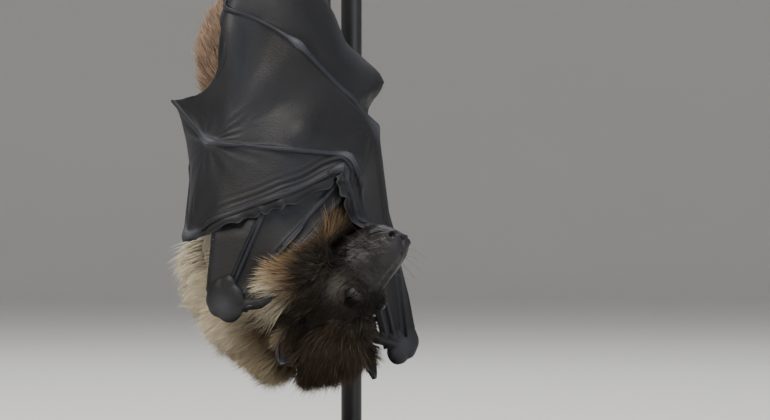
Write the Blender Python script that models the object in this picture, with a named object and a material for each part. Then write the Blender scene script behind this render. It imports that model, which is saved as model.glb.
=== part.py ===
"""A fruit bat asleep head down on a cut length of branch, held by a plain display stand.

Lengths below are millimetres, and every mesh is turned to metres as it is made. +Z is up,
the floor is z = 0, the bat's belly faces -Y and its left side is -X. The right wing is
wrapped over the belly, outside the left one.
"""

import math

import bmesh
import bpy
import numpy as np
from mathutils import Matrix, Vector
from mathutils.bvhtree import BVHTree

MM = 0.001
GAP = 0.35  # between neighbouring solids
AXIS = (0.0, 4.0)  # the upright line that the wings are wrapped around

# Head: centre of the cranium and the head's own axes.
CRANIUM = Vector((1.4, -15.6, 63.0))
SNOUT = Vector((0.272, -0.760, 0.589)).normalized()
LEFT = Vector((-0.9615, -0.170, 0.220)).normalized()
CROWN = Vector((-0.068, -0.626, -0.776)).normalized()
EYE_RADIUS = 4.2
EYE_AT = (18.0, 7.8, 7.2)  # along the snout, to the side, towards the crown
# Each mass of the muzzle: along the snout, towards the throat, half length, width and depth.
MUZZLE = (
    (15, 2.0, 11, 12.5, 12.5),
    (24, 3.5, 11, 9.8, 10.9),
    (32, 4.9, 9, 7.8, 9.3),
    (38.5, 5.0, 6.2, 6.4, 7.2),
)
CRANIUM_RADII = (21.0, 22.0, 27.0)
# Each ear: its hand, then root and tip along the snout, to the side and towards the crown.
EARS = {
    "left": (1, (-5, 15, 8), (-15, 20.5, 17)),
    "right": (-1, (2, 14, 10), (-2, 20, 24)),
}
EAR_WIDTH = 11.0
EAR_CUP = 2.4  # how deep the leaf is hollowed

# The coat's round masses behind the head: ruff, nape, mantle, chest, belly and rump.
COAT_MASSES = (
    ((-3.5, -7.8, 75), (27, 27, 27)),
    ((-4, 5, 67), (29, 30, 30)),
    ((0, 13, 82), (35, 33, 34)),
    ((0, 9, 125), (27, 33, 42)),
    ((0, 9, 142), (26, 31, 40)),
    ((-3, 12, 158), (27, 29, 33)),
)
HEAD_CUT = 12.0  # the head ends this far below the cranium's centre
NECK_CUT = 100.0  # height at which the neck meets the trunk
BODY_VOXEL = 1.6
BODY_TRIANGLES = 1260

# Wings: radii of the bones with their skin, and the sheets between them.
FINGER_RADIUS = 1.6
KNUCKLE_RADIUS = 2.2
SHEET = 1.0
FINGER_SPACING = 3.9  # between the roots of the fingers at the wrist

WRIST_RADII = (7.5, 7.5, 4.6)  # across the wing, along the arm, through it
ARM_SHIFT = 6.4  # from the wrist's middle to the forearm's end, across the wing
ARM_RINGS = 12
FINGER_RINGS = 23
FINGER_SHIFT = -2.4  # from the wrist's middle to the middle finger's root, across the wing
THUMB_RADII = (2.2, 2.2, 2.0, 1.8, 1.8, 1.9, 1.5)
THUMB_SHIFT = 4.8  # from the third finger to the thumb, across the wing
CLEARANCE = 0.25  # what a bone or sheet keeps beyond the gap

# Perch and stand.
BASE = (160.0, 140.0, 12.0)
BASE_CORNER = 14.0
BASE_BEVEL = 1.6
BRANCH_TURN = math.radians(30.0)
BRANCH_CENTRE = Vector((4.0, -6.0, 296.0))
BRANCH_RADIUS = 13.0
BRANCH_ENDS = (-52.0, 78.0)
BRANCH_STRAIGHT = 26.0  # half the stretch that neither droops nor thins
BRANCH_DROOP = 0.0016
BRANCH_TAPER = 0.004
ROD_ALONG = 60.0  # from the branch's centre to the rod, along the branch
ROD_RADIUS = 4.0
# Radius and height of each step of the cradle's cup and of the rod's collar.
CRADLE = ((7.5, 0.0), (9.0, 1.5), (11.5, 8.0), (13.0, 15.0), (13.0, 19.0))
CRADLE_DROP = 9.0  # from the branch's underside to the cradle's
COLLAR = ((9.0, 0.0), (9.0, 5.0), (7.5, 7.0))
FOOT_SPREAD = 13.0  # from the branch's centre to each foot, along the branch
ANKLE = (-1.05, 31.0)  # turn about the branch, and distance from its middle line
# The left leg from hip by way of thigh to knee, mirrored for the right, and its thickness.
LEG = ((9, 9, 176), (15, 13, 200), (19, 16, 223))
LEG_RADII = ((0, 12), (0.25, 10.5), (0.5, 6.2), (0.62, 4.6), (1, 2.9))
LEG_RINGS = 12
TOE_RADIUS = 1.45
TOE_SPACING = 3.7
TOE_TURN = 1.25  # how far the middle toe reaches round the branch
CLAW_TURN = 0.72
CLAW_ARCH = 1.4
FOOT_TRIANGLES = 330

COLOURS = {
    "coat": ((0.48, 0.36, 0.22), 0.9, 0.0),
    "skin": ((0.045, 0.047, 0.055), 0.55, 0.0),
    "eye": ((0.02, 0.012, 0.008), 0.12, 0.0),
    "claw": ((0.025, 0.022, 0.02), 0.35, 0.0),
    "bark": ((0.16, 0.11, 0.07), 0.9, 0.0),
    "stand": ((0.035, 0.035, 0.038), 0.4, 0.0),
}


def head_point(along, side, up):
    """A point in the head's own axes: along the snout, to the left, towards the crown."""
    return CRANIUM + along * SNOUT + side * LEFT + up * CROWN


def material_for(name, kind):
    """The solid's own material, coloured as its kind."""
    colour, roughness, metallic = COLOURS[kind]
    made = bpy.data.materials.new(name)
    made.use_nodes = True
    surface = made.node_tree.nodes["Principled BSDF"]
    surface.inputs["Base Color"].default_value = (*colour, 1.0)
    surface.inputs["Roughness"].default_value = roughness
    surface.inputs["Metallic"].default_value = metallic
    made.diffuse_color = (*colour, 1.0)
    return made


def add_object(name, kind, shape):
    """A named object from a (points, faces) pair in millimetres."""
    points, faces = shape
    mesh = bpy.data.meshes.new(name)
    mesh.from_pydata([tuple(c * MM for c in p) for p in points], [], [tuple(f) for f in faces])
    mesh.validate()
    mesh.shade_smooth()
    made = bpy.data.objects.new(name, mesh)
    made.data.materials.append(material_for(name, kind))
    bpy.context.scene.collection.objects.link(made)
    return made


def shape_of(mesh):
    """A Blender mesh in metres as a (points, triangles) pair in millimetres."""
    grid = bmesh.new()
    grid.from_mesh(mesh)
    bmesh.ops.triangulate(grid, faces=grid.faces[:])
    points = [v.co / MM for v in grid.verts]
    faces = [[v.index for v in f.verts] for f in grid.faces]
    grid.free()
    return points, faces


def joined(shapes):
    """Several shapes as one (points, faces) pair."""
    points, faces = [], []
    for more_points, more_faces in shapes:
        start = len(points)
        points += [Vector(p) for p in more_points]
        faces += [[start + i for i in face] for face in more_faces]
    return points, faces


def evaluated(shape, modifiers):
    """The shape after a list of (modifier type, settings) has worked on it."""
    made = add_object("work", "coat", shape)
    for kind, settings in modifiers:
        modifier = made.modifiers.new(kind, kind)
        for key, value in settings.items():
            setattr(modifier, key, value)
    bpy.context.view_layer.update()
    seen = made.evaluated_get(bpy.context.evaluated_depsgraph_get())
    result = shape_of(bpy.data.meshes.new_from_object(seen))
    bpy.data.objects.remove(made, do_unlink=True)
    return result


def fused(shapes, voxel, triangles, smoothing=2):
    """One closed skin round overlapping shapes, thinned to about this many triangles."""
    whole = evaluated(joined(shapes), [("REMESH", {"mode": "VOXEL", "voxel_size": voxel * MM})])
    ratio = min(1.0, triangles / len(whole[1]))
    smooth = ("SMOOTH", {"factor": 0.5, "iterations": smoothing})
    return evaluated(whole, [smooth, ("DECIMATE", {"ratio": ratio})])


def carved(shape, cutter, operation="DIFFERENCE"):
    """The shape with the cutter taken away from it."""
    tool = add_object("cutter", "coat", cutter)
    tool.hide_render = True
    tool.display_type = "WIRE"
    cut = ("BOOLEAN", {"operation": operation, "solver": "EXACT", "object": tool})
    result = evaluated(shape, [cut])
    bpy.data.objects.remove(tool, do_unlink=True)
    return result


def inflated(shape, by):
    """The shape with every point moved outwards along its normal."""
    points, faces = shape
    normals = [Vector((0, 0, 0)) for _ in points]
    for face in faces:
        a, b, c = (Vector(points[i]) for i in face[:3])
        normal = (b - a).cross(c - a)
        for i in face:
            normals[i] += normal
    moved = [Vector(p) + by * n.normalized() for p, n in zip(points, normals)]
    return moved, faces


def kept_side(shape, at, normal):
    """The part of a closed shape on the side that the normal points to, capped flat."""
    grid = bmesh.new()
    verts = [grid.verts.new(p) for p in shape[0]]
    for face in shape[1]:
        grid.faces.new([verts[i] for i in face])
    everything = grid.verts[:] + grid.edges[:] + grid.faces[:]
    bmesh.ops.bisect_plane(grid, geom=everything, plane_co=at, plane_no=normal, clear_inner=True)
    rim = [e for e in grid.edges if e.is_boundary]
    bmesh.ops.holes_fill(grid, edges=rim, sides=0)
    bmesh.ops.triangulate(grid, faces=grid.faces[:])
    bmesh.ops.recalc_face_normals(grid, faces=grid.faces[:])
    grid.verts.index_update()
    result = [v.co.copy() for v in grid.verts], [[v.index for v in f.verts] for f in grid.faces]
    grid.free()
    return result


def ellipsoid(centre, radii, axes=None, subdivisions=3):
    """An icosphere stretched along the axes (the world's, unless three are given)."""
    grid = bmesh.new()
    bmesh.ops.create_icosphere(grid, subdivisions=subdivisions, radius=1.0)
    radii = [float(r) for r in radii]
    axes = axes or (Vector((1, 0, 0)), Vector((0, 1, 0)), Vector((0, 0, 1)))
    points = []
    for vert in grid.verts:
        offset = sum((r * c * a for r, c, a in zip(radii, vert.co, axes)), Vector((0, 0, 0)))
        points.append(Vector(centre) + offset)
    faces = [[v.index for v in f.verts] for f in grid.faces]
    grid.free()
    volume = sum(points[a].dot(points[b].cross(points[c])) for a, b, c in faces)
    return points, faces if volume > 0 else [face[::-1] for face in faces]


def tube(centres, radii, sides=8):
    """A round bar along the centres, closed by a point-fan at each end."""
    centres = [Vector(c) for c in centres]
    count = len(centres)
    points, faces = [], []
    side = Vector((0.31, 0.17, 0.93))
    for i, centre in enumerate(centres):
        along = (centres[min(i + 1, count - 1)] - centres[max(i - 1, 0)]).normalized()
        side = (side - side.dot(along) * along).normalized()
        across = along.cross(side)
        radius = float(radii[i])
        for k in range(sides):
            turn = 2 * math.pi * k / sides
            points.append(centre + radius * (math.cos(turn) * side + math.sin(turn) * across))
    for i in range(count - 1):
        for k in range(sides):
            a, b = i * sides + k, i * sides + (k + 1) % sides
            faces += [[a, b, b + sides], [a, b + sides, a + sides]]
    for ring, end, order in ((0, centres[0], -1), (count - 1, centres[-1], 1)):
        points.append(end)
        hub = len(points) - 1
        for k in range(sides):
            a, b = ring * sides + k, ring * sides + (k + 1) % sides
            faces.append([hub, a, b][::order])
    return points, faces


def lengths_along(points):
    """Distance run at each point of a polyline."""
    steps = [(Vector(b) - Vector(a)).length for a, b in zip(points, points[1:])]
    return np.concatenate([[0.0], np.cumsum(steps)])


def resampled(points, count):
    """The polyline read at evenly spaced places."""
    run = lengths_along(points)
    at = np.linspace(0, run[-1], count)
    columns = [np.interp(at, run, [p[k] for p in points]) for k in range(3)]
    return [Vector(p) for p in zip(*columns)]


def to_round(point):
    """Angle from the belly towards the right side, radius and height, about the axis."""
    x, y = point[0] - AXIS[0], point[1] - AXIS[1]
    return math.atan2(x, -y), math.hypot(x, y), point[2]


def from_round(angle, radius, height):
    """The point at an angle, radius and height about the axis."""
    x = AXIS[0] + radius * math.sin(angle)
    return Vector((x, AXIS[1] - radius * math.cos(angle), height))


class Obstacles:
    """Solids that what is wrapped round the axis has to stay outside."""

    FAR = 150.0

    def __init__(self):
        self.shapes = []
        self.tree = None

    def add(self, *shapes):
        """Take in more solids."""
        self.shapes += shapes
        points, faces = joined(self.shapes)
        self.tree = BVHTree.FromPolygons(points, faces)
        return self

    def reach(self, angle, height, around):
        """Largest radius of the solids within a short distance of an angle and height."""
        most = 0.0
        for turn in (-1, -0.5, 0, 0.5, 1):
            for rise in (-1, -0.5, 0, 0.5, 1):
                at = angle + turn * around / 32.0
                outside = from_round(at, self.FAR, height + rise * around)
                inward = from_round(at, 0.0, height + rise * around) - outside
                hit = self.tree.ray_cast(outside, inward.normalized(), self.FAR)
                if hit[0] is not None:
                    most = max(most, self.FAR - hit[3])
        return most


def lifted_line(points, radii, obstacles):
    """A bone's centre line, moved outwards until the bone clears the obstacles."""
    rounds = [to_round(p) for p in points]
    need = [
        obstacles.reach(a, z, radius + 1.6) + radius + GAP + CLEARANCE
        for (a, _, z), radius in zip(rounds, radii)
    ]
    reach = np.maximum([r for _, r, _ in rounds], need)
    for _ in range(3):
        padded = np.pad(reach, 1, mode="edge")
        reach = np.maximum(reach, (padded[:-2] + padded[1:-1] + padded[2:]) / 3)
    return [from_round(a, r, z) for (a, _, z), r in zip(rounds, reach)]


def place_on(points, fraction):
    """The point at a fraction of the polyline's length."""
    run = lengths_along(points)
    at = fraction * run[-1]
    return Vector(np.interp(at, run, [p[k] for p in points]) for k in range(3))


def distance_to(point, line):
    """Shortest distance from a point to a polyline."""
    best = math.inf
    for a, b in zip(line, line[1:]):
        span = b - a
        share = max(0.0, min(1.0, (point - a).dot(span) / max(span.length_squared, 1e-9)))
        best = min(best, (point - a - share * span).length)
    return best


def blend_round(a, b, share):
    """The point a share of the way from a to b, turning about the axis across the belly."""
    mixed = [first + share * (last - first) for first, last in zip(to_round(a), to_round(b))]
    return from_round(*mixed)


def sheet(edge_a, edge_b, radii, span, grid, scallop, obstacles):
    """A wing membrane between two bones, clear of both and outside the obstacles.

    The edges run from the wrist outwards; span is the stretch used of both, grid the
    number of rows and columns, and scallop how far the free edge is drawn in.
    """
    rows, columns = grid

    def at(place, share):
        drawn = place * (1 - scallop * 4 * share * (1 - share))
        return blend_round(place_on(edge_a, drawn), place_on(edge_b, drawn), share)

    def inset(place, ends, edge, radius):
        for share in np.linspace(*ends, 90):
            if distance_to(at(place, share), edge) >= radius + GAP + 0.6:
                return share
        return ends[1]

    cells = []
    for place in np.linspace(*span, rows):
        first = inset(place, (0.0, 0.5), edge_a, radii[0])
        last = inset(place, (1.0, 0.5), edge_b, radii[1])
        cells.append([to_round(at(place, s)) for s in np.linspace(first, last, columns)])
    need = [[obstacles.reach(a, z, 4.5) + SHEET / 2 + GAP + 0.6 for a, _, z in row] for row in cells]
    reach = np.maximum([[r for _, r, _ in row] for row in cells], need)
    for _ in range(3):
        padded = np.pad(reach, 1, mode="edge")
        near = padded[:-2, 1:-1] + padded[2:, 1:-1] + padded[1:-1, :-2] + padded[1:-1, 2:]
        reach = np.maximum(reach, near / 4)
    middle = [
        [from_round(a, r, z) for (a, _, z), r in zip(row, line)] for row, line in zip(cells, reach)
    ]
    return thickened(middle)


def thickened(middle):
    """A grid of points turned into a closed sheet of even thickness."""
    rows, columns = len(middle), len(middle[0])
    outer, inner = [], []
    for i in range(rows):
        for j in range(columns):
            along = middle[min(i + 1, rows - 1)][j] - middle[max(i - 1, 0)][j]
            across = middle[i][min(j + 1, columns - 1)] - middle[i][max(j - 1, 0)]
            normal = along.cross(across).normalized() * SHEET / 2
            outer.append(middle[i][j] + normal)
            inner.append(middle[i][j] - normal)
    faces = []
    back = rows * columns
    for i in range(rows - 1):
        for j in range(columns - 1):
            a, b = i * columns + j, i * columns + j + 1
            c, d = a + columns, b + columns
            faces += [[a, c, d], [a, d, b], [back + a, back + d, back + c], [back + a, back + b, back + d]]
    rim = [(0, j) for j in range(columns)] + [(i, columns - 1) for i in range(1, rows)]
    rim += [(rows - 1, j) for j in range(columns - 2, -1, -1)] + [(i, 0) for i in range(rows - 2, 0, -1)]
    loop = [i * columns + j for i, j in rim]
    for a, b in zip(loop, loop[1:] + loop[:1]):
        faces += [[a, b, back + b], [a, back + b, back + a]]
    return outward((outer + inner, faces))


def outward(shape):
    """The shape with its faces turned to point outwards."""
    points, faces = shape
    volume = sum(points[a].dot(points[b].cross(points[c])) for a, b, c in faces)
    return points, faces if volume > 0 else [face[::-1] for face in faces]


def coat_masses():
    """The round masses of the coat, from the cranium to the rump."""
    cranium = ellipsoid(head_point(0, 0, 1), CRANIUM_RADII, (SNOUT, LEFT, CROWN))
    return [cranium, *(ellipsoid(centre, radii) for centre, radii in COAT_MASSES)]


def make_body():
    """The furred head, neck and trunk, cut from one skin so that they meet along planes."""
    shapes = coat_masses()
    for along, down, length, width, depth in MUZZLE:
        middle = head_point(along, 0, -down)
        shapes.append(ellipsoid(middle, (length, width, depth), (SNOUT, LEFT, CROWN)))
    body = fused(shapes, BODY_VOXEL, BODY_TRIANGLES, smoothing=4)
    head = kept_side(body, head_point(0, 0, -HEAD_CUT), CROWN)
    rest = kept_side(body, head_point(0, 0, -HEAD_CUT - GAP), -CROWN)
    neck = kept_side(rest, (0, 0, NECK_CUT), (0, 0, -1))
    trunk = kept_side(rest, (0, 0, NECK_CUT + GAP), (0, 0, 1))
    return head, neck, trunk


def add_head(head):
    """The head with its eyes let into sockets and the ears set against it."""
    around_head = inflated(head, GAP)
    along, side, up = EYE_AT
    for name, hand in (("left", 1), ("right", -1)):
        centre = head_point(along, hand * side, up)
        head = carved(head, ellipsoid(centre, (EYE_RADIUS + GAP,) * 3, subdivisions=2))
        add_object(f"eye_{name}", "eye", ellipsoid(centre, (EYE_RADIUS,) * 3, subdivisions=2))
    for name, (hand, *ends) in EARS.items():
        root, tip = (head_point(ahead, hand * out, high) for ahead, out, high in ends)
        add_object(f"ear_{name}", "skin", carved(make_ear(root, tip), around_head))
    add_object("head", "coat", head)


def make_ear(root, tip):
    """A rounded, cupped leaf from its root to its tip, hollow towards the snout."""
    rows, columns = 8, 6
    length = (tip - root).length
    up = (tip - root).normalized()
    facing = (SNOUT - SNOUT.dot(up) * up).normalized()
    across = up.cross(facing)
    middle = []
    for i in range(rows):
        share = i / (rows - 1)
        half = EAR_WIDTH / 2 * (0.30 + 0.75 * math.sin(math.pi * (0.12 + 0.82 * share)) ** 0.8)
        row = []
        for j in range(columns):
            place = 2 * j / (columns - 1) - 1
            hollow = facing * EAR_CUP * place * place * (1 - 0.5 * share)
            row.append(root + up * length * share + across * half * place * (1 - 0.25 * share) + hollow)
        middle.append(row)
    return thickened(middle)


# Each wing: rows and columns of its arm sheet, wrist, turn of the wrist about the upright,
# elbow, where the sheet is held along the flank, and the joints of each finger to its tip.
WINGS = {
    "left": {
        "grid": (11, 10),
        "wrist": (-40.4, -7.6, 66.0),
        "turn": 0.0,
        "elbow": (-23.0, 1.0, 183.0),
        "flank": ((-23.0, 2.0, 206.0), (-21.0, 1.0, 226.0), (-17.0, -3.0, 248.0)),
        "digit_3": ((6.5, -30.0, 114.5), (33.0, 6.0, 97.0), (22.0, 32.0, 118.0)),
        "digit_4": ((3.0, -31.0, 119.5), (28.0, 2.0, 125.0), (24.0, 26.0, 142.0)),
        "digit_5": ((-18.0, -24.0, 131.0), (26.0, -22.0, 150.0), (24.0, 10.0, 172.0)),
    },
    "right": {
        "grid": (12, 15),
        "wrist": (46.6, -11.8, 50.6),
        "turn": math.radians(-75),
        "elbow": (27.0, 6.0, 176.0),
        "flank": ((25.0, 4.0, 200.0), (21.0, 3.0, 226.0), (11.0, 3.0, 250.0)),
        "digit_3": ((-5.3, -33.6, 117.5), (-44.75, 8.7, 91.75), (-20.0, 36.0, 124.0)),
        "digit_4": ((-1.3, -33.0, 121.9), (-39.0, 3.3, 127.0), (-31.6, 30.5, 143.0)),
        "digit_5": ((19.3, -25.8, 133.0), (-16.9, -22.0, 163.0), (-24.1, 8.25, 180.6)),
    },
}


def finger_radii(count, knuckles):
    """Radii along a finger: thicker at each joint, thin at the tip."""
    radii = []
    for share in np.linspace(0, 1, count):
        swell = sum(math.exp(-(((share - k) / 0.03) ** 2)) for k in knuckles)
        slim = FINGER_RADIUS * (1 - 0.42 * share ** 2)
        radii.append(slim + (KNUCKLE_RADIUS - FINGER_RADIUS) * min(swell, 1.0))
    return radii


def add_wing(side, obstacles):
    """One folded wing: arm, wrist, thumb, three fingers and the sheets between them."""
    plan = WINGS[side]
    wrist, elbow = Vector(plan["wrist"]), Vector(plan["elbow"])
    rounded = to_round(wrist)
    outwards = (from_round(rounded[0], 60, rounded[2]) - wrist).normalized()
    outwards.rotate(Matrix.Rotation(plan["turn"], 3, "Z"))
    knuckles = sum((Vector(plan[f"digit_{k}"][0]) for k in (3, 4, 5)), Vector()) / 3
    towards = (knuckles - wrist).normalized()
    across = towards.cross(outwards).normalized()
    if across.dot(Vector(plan["digit_5"][0]) - Vector(plan["digit_3"][0])) < 0:
        across = -across
    arm_way = (elbow - wrist).normalized()
    knob = ellipsoid(wrist, WRIST_RADII, (across, outwards.cross(across), outwards), subdivisions=2)
    around = inflated(knob, GAP)
    made = {}

    arm_radii = [2.6 + 1.9 * math.sin(math.pi * 0.62 * s) ** 2 for s in np.linspace(0, 1, ARM_RINGS)]
    arm_root = wrist + 3 * arm_way + ARM_SHIFT * across
    arm = lifted_line(resampled((arm_root, elbow), ARM_RINGS), arm_radii, obstacles)
    made["forearm"] = carved(tube(arm, arm_radii), around)

    lines = {}
    for rank, digit in enumerate(("digit_3", "digit_4", "digit_5")):
        root = wrist + 4.0 * towards + ((rank - 1) * FINGER_SPACING + FINGER_SHIFT) * across
        joints = [root, *(Vector(p) for p in plan[digit])]
        places = lengths_along(joints) / lengths_along(joints)[-1]
        radii = finger_radii(FINGER_RINGS, places[1:3])
        line = lifted_line(resampled(joints, FINGER_RINGS), radii, obstacles)
        lines[digit] = line
        made[digit] = carved(tube(line, radii, sides=6), around)
    beside = [place_on(lines["digit_3"], f) - THUMB_SHIFT * across for f in (0.03, 0.06, 0.09, 0.12)]
    thumb = lifted_line(resampled(beside, 7), THUMB_RADII, obstacles)
    made["thumb"] = carved(tube(thumb, THUMB_RADII), around)
    way = (thumb[-1] - thumb[-2]).normalized()
    hook = [thumb[-1] + (GAP + a) * way + b * outwards for a, b in ((0, 0), (3, 0.8), (5, 2.2), (6, 4))]
    made["thumb_claw"] = tube(resampled(hook, 6), np.linspace(1.4, 0.35, 6), sides=6)
    flank = [arm[-1], *(Vector(p) for p in plan["flank"])]
    lines["arm"] = lifted_line(resampled([*arm, *flank[1:]], 30), [2.0] * 30, obstacles)

    full = KNUCKLE_RADIUS
    made["membrane_arm"] = sheet(
        lines["digit_5"], lines["arm"], (full, 4.7), (0.12, 1.0), plan["grid"], 0.10, obstacles
    )
    made["membrane_54"] = sheet(
        lines["digit_4"], lines["digit_5"], (full, full), (0.26, 1.0), (10, 6), 0.08, obstacles
    )
    made["membrane_43"] = sheet(
        lines["digit_3"], lines["digit_4"], (full, full), (0.53, 1.0), (7, 6), 0.06, obstacles
    )
    made["wrist"] = knob
    for part, shape in made.items():
        kind = "claw" if part == "thumb_claw" else "skin"
        add_object(f"{part}_{side}", kind, shape)
        obstacles.add(shape)


def branch_point(along, turn=0.0, radius=0.0):
    """A point by the branch: along it, and turned about it from the bat's back over the top."""
    along, radius = float(along), float(radius)
    way = Vector((math.cos(BRANCH_TURN), math.sin(BRANCH_TURN), 0))
    back = Vector((-math.sin(BRANCH_TURN), math.cos(BRANCH_TURN), 0))
    spoke = math.cos(turn) * back + math.sin(turn) * Vector((0, 0, 1))
    return BRANCH_CENTRE + along * way + radius * spoke


def make_leg(hand, trunk):
    """A furred thigh and shin from the trunk to the ankle, the knee turned out and back."""
    joints = [Vector((hand * x, y, z)) for x, y, z in LEG]
    joints.append(branch_point(hand * FOOT_SPREAD, *ANKLE))
    radii = np.interp(np.linspace(0, 1, LEG_RINGS), *zip(*LEG_RADII))
    return carved(tube(resampled(joints, LEG_RINGS), radii, sides=12), inflated(trunk, GAP))


def add_foot(side, hand):
    """A foot with five toes hooked over the branch, and a claw on each."""
    middle = hand * FOOT_SPREAD
    ankle = branch_point(middle, *ANKLE)
    sole = branch_point(middle, 0.0, BRANCH_RADIUS + 4.2)
    heel = ankle.lerp(sole, 0.03)
    palm = [heel, heel.lerp(sole, 0.4), heel.lerp(sole, 0.8), branch_point(middle, 0.18, BRANCH_RADIUS + 3.6)]
    shapes = [tube(palm, (3.0, 3.6, 4.0, 2.2), sides=12)]
    ring = BRANCH_RADIUS + TOE_RADIUS + GAP + 0.5
    for rank in range(-2, 3):
        along = middle + rank * TOE_SPACING
        turns = np.linspace(0.0, TOE_TURN - 0.05 * abs(rank), 7)
        toe = [heel.lerp(sole, 0.7)] + [branch_point(along, t, ring + 0.5 * math.cos(t)) for t in turns]
        shapes.append(tube(toe, [2.0, 2.2, 1.7, TOE_RADIUS, 1.7, TOE_RADIUS, 1.6, 1.3]))
        start = turns[-1] + (1.3 + GAP) / ring
        bends = np.linspace(start, start + CLAW_TURN, 5)
        rise = [ring + CLAW_ARCH * math.sin(math.pi * (t - start)) for t in bends]
        claw = [branch_point(along, t, out) for t, out in zip(bends, rise)]
        add_object(f"claw_{side}_{rank + 3}", "claw", tube(claw, np.linspace(1.25, 0.3, 5), sides=6))
    foot = fused(shapes, 0.5, FOOT_TRIANGLES, smoothing=1)
    add_object(f"foot_{side}", "skin", carved(foot, inflated(bough(), GAP)))
    return foot


def bough():
    """The cut length of branch, a little crooked towards its ends."""
    count = 14
    centres, radii = [], []
    for along in np.linspace(*BRANCH_ENDS, count):
        beyond = max(0.0, abs(along) - BRANCH_STRAIGHT)
        centres.append(branch_point(along) - Vector((0, 0, BRANCH_DROOP * beyond ** 2)))
        radii.append(BRANCH_RADIUS - BRANCH_TAPER * beyond ** 2 * (along < 0))
    return tube(centres, radii, sides=16)


def turned(profile, centre, sides=16):
    """A solid of revolution about an upright line, from (radius, height) pairs."""
    points, faces = [], []
    for radius, height in profile:
        for k in range(sides):
            turn = 2 * math.pi * k / sides
            points.append(Vector(centre) + Vector((radius * math.cos(turn), radius * math.sin(turn), height)))
    for i in range(len(profile) - 1):
        for k in range(sides):
            a, b = i * sides + k, i * sides + (k + 1) % sides
            faces += [[a, b, b + sides], [a, b + sides, a + sides]]
    top = (len(profile) - 1) * sides
    for k in range(1, sides - 1):
        faces += [[0, k + 1, k], [top, top + k, top + k + 1]]
    return outward((points, faces))


def add_perch_and_stand():
    """The branch, the cradle that carries it, the rod with its collar, and the base."""
    branch = bough()
    add_object("perch_branch", "bark", branch)
    under = branch_point(ROD_ALONG)
    foot = (under.x, under.y, BASE[2] + GAP)
    droop = BRANCH_DROOP * (ROD_ALONG - BRANCH_STRAIGHT) ** 2
    cradle_bottom = under.z - droop - BRANCH_RADIUS - CRADLE_DROP
    cup = turned(CRADLE, (under.x, under.y, cradle_bottom))
    add_object("stand_cradle", "stand", carved(cup, inflated(branch, GAP)))
    rod_length = cradle_bottom - GAP - foot[2]
    rod = turned(((ROD_RADIUS, 0), (ROD_RADIUS, rod_length)), foot, sides=24)
    add_object("stand_rod", "stand", rod)
    bore = turned(((ROD_RADIUS + GAP, -2), (ROD_RADIUS + GAP, COLLAR[-1][1] + 5)), foot)
    add_object("stand_collar", "stand", carved(turned(COLLAR, foot), bore))
    grid = bmesh.new()
    bmesh.ops.create_cube(grid, size=1.0)
    bmesh.ops.scale(grid, vec=BASE, verts=grid.verts)
    bmesh.ops.translate(grid, vec=(0, 0, BASE[2] / 2), verts=grid.verts)
    upright = [e for e in grid.edges if abs(e.verts[0].co.z - e.verts[1].co.z) > 1]
    bmesh.ops.bevel(grid, geom=upright, offset=BASE_CORNER, segments=5, affect="EDGES", profile=0.5)
    rim = [e for e in grid.edges if min(v.co.z for v in e.verts) > BASE[2] - 0.1]
    bmesh.ops.bevel(grid, geom=rim, offset=BASE_BEVEL, segments=3, affect="EDGES", profile=0.5)
    bmesh.ops.triangulate(grid, faces=grid.faces[:])
    grid.verts.index_update()
    base = [v.co.copy() for v in grid.verts], [[v.index for v in f.verts] for f in grid.faces]
    grid.free()
    add_object("stand_base", "stand", base)


def main():
    """Build every solid of the bat, its perch and its stand."""
    for old in list(bpy.data.objects):
        bpy.data.objects.remove(old, do_unlink=True)
    head, neck, trunk = make_body()
    obstacles = Obstacles().add(*coat_masses())
    add_head(head)
    add_object("neck", "coat", neck)
    add_object("trunk", "coat", trunk)
    for side, hand in (("left", -1), ("right", 1)):
        foot = add_foot(side, hand)
        leg = carved(make_leg(hand, trunk), inflated(foot, GAP))
        add_object(f"leg_{side}", "coat", leg)
        obstacles.add(leg)
    add_wing("left", obstacles)
    add_wing("right", obstacles)
    add_perch_and_stand()


main()
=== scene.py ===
"""Looks of a fruit bat that hangs head down in its folded wings from a cut branch on a stand.

Lengths in the classes are millimetres and are turned to metres as each mesh is made.
"""

import logging
import math
from dataclasses import dataclass, field
from enum import Enum
from functools import reduce
from typing import Callable, Optional, Sequence

import bmesh
import bpy
import numpy as np
from bpy.types import ID, Material, Mesh, Node, NodeSocket, NodeTree, Object
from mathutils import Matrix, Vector
from mathutils.bvhtree import BVHTree


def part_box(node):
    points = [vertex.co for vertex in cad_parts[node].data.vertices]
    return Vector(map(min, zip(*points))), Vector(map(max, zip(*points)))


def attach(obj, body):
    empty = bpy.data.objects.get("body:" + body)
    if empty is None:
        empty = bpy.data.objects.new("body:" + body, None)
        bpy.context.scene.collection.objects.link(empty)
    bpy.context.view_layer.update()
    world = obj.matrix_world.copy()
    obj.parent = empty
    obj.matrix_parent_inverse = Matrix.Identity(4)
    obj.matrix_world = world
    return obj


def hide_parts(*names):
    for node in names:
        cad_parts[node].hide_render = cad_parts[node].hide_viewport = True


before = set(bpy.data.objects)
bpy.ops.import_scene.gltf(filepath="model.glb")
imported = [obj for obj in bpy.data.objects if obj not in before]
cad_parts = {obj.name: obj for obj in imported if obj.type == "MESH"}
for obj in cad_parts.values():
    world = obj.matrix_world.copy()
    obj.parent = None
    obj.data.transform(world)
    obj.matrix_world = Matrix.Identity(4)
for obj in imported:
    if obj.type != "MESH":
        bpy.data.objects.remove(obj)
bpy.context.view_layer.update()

MM = 0.001
SEED = 20417
Array = np.ndarray
Point = tuple[float, float, float]
LOG = logging.getLogger("fruit_bat")


# ---- small tools


def unit(vectors: Array) -> Array:
    """Scale vectors to length one along their last axis."""
    vectors = np.asarray(vectors, float)
    return vectors / np.maximum(np.linalg.norm(vectors, axis=-1, keepdims=True), 1e-12)


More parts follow.
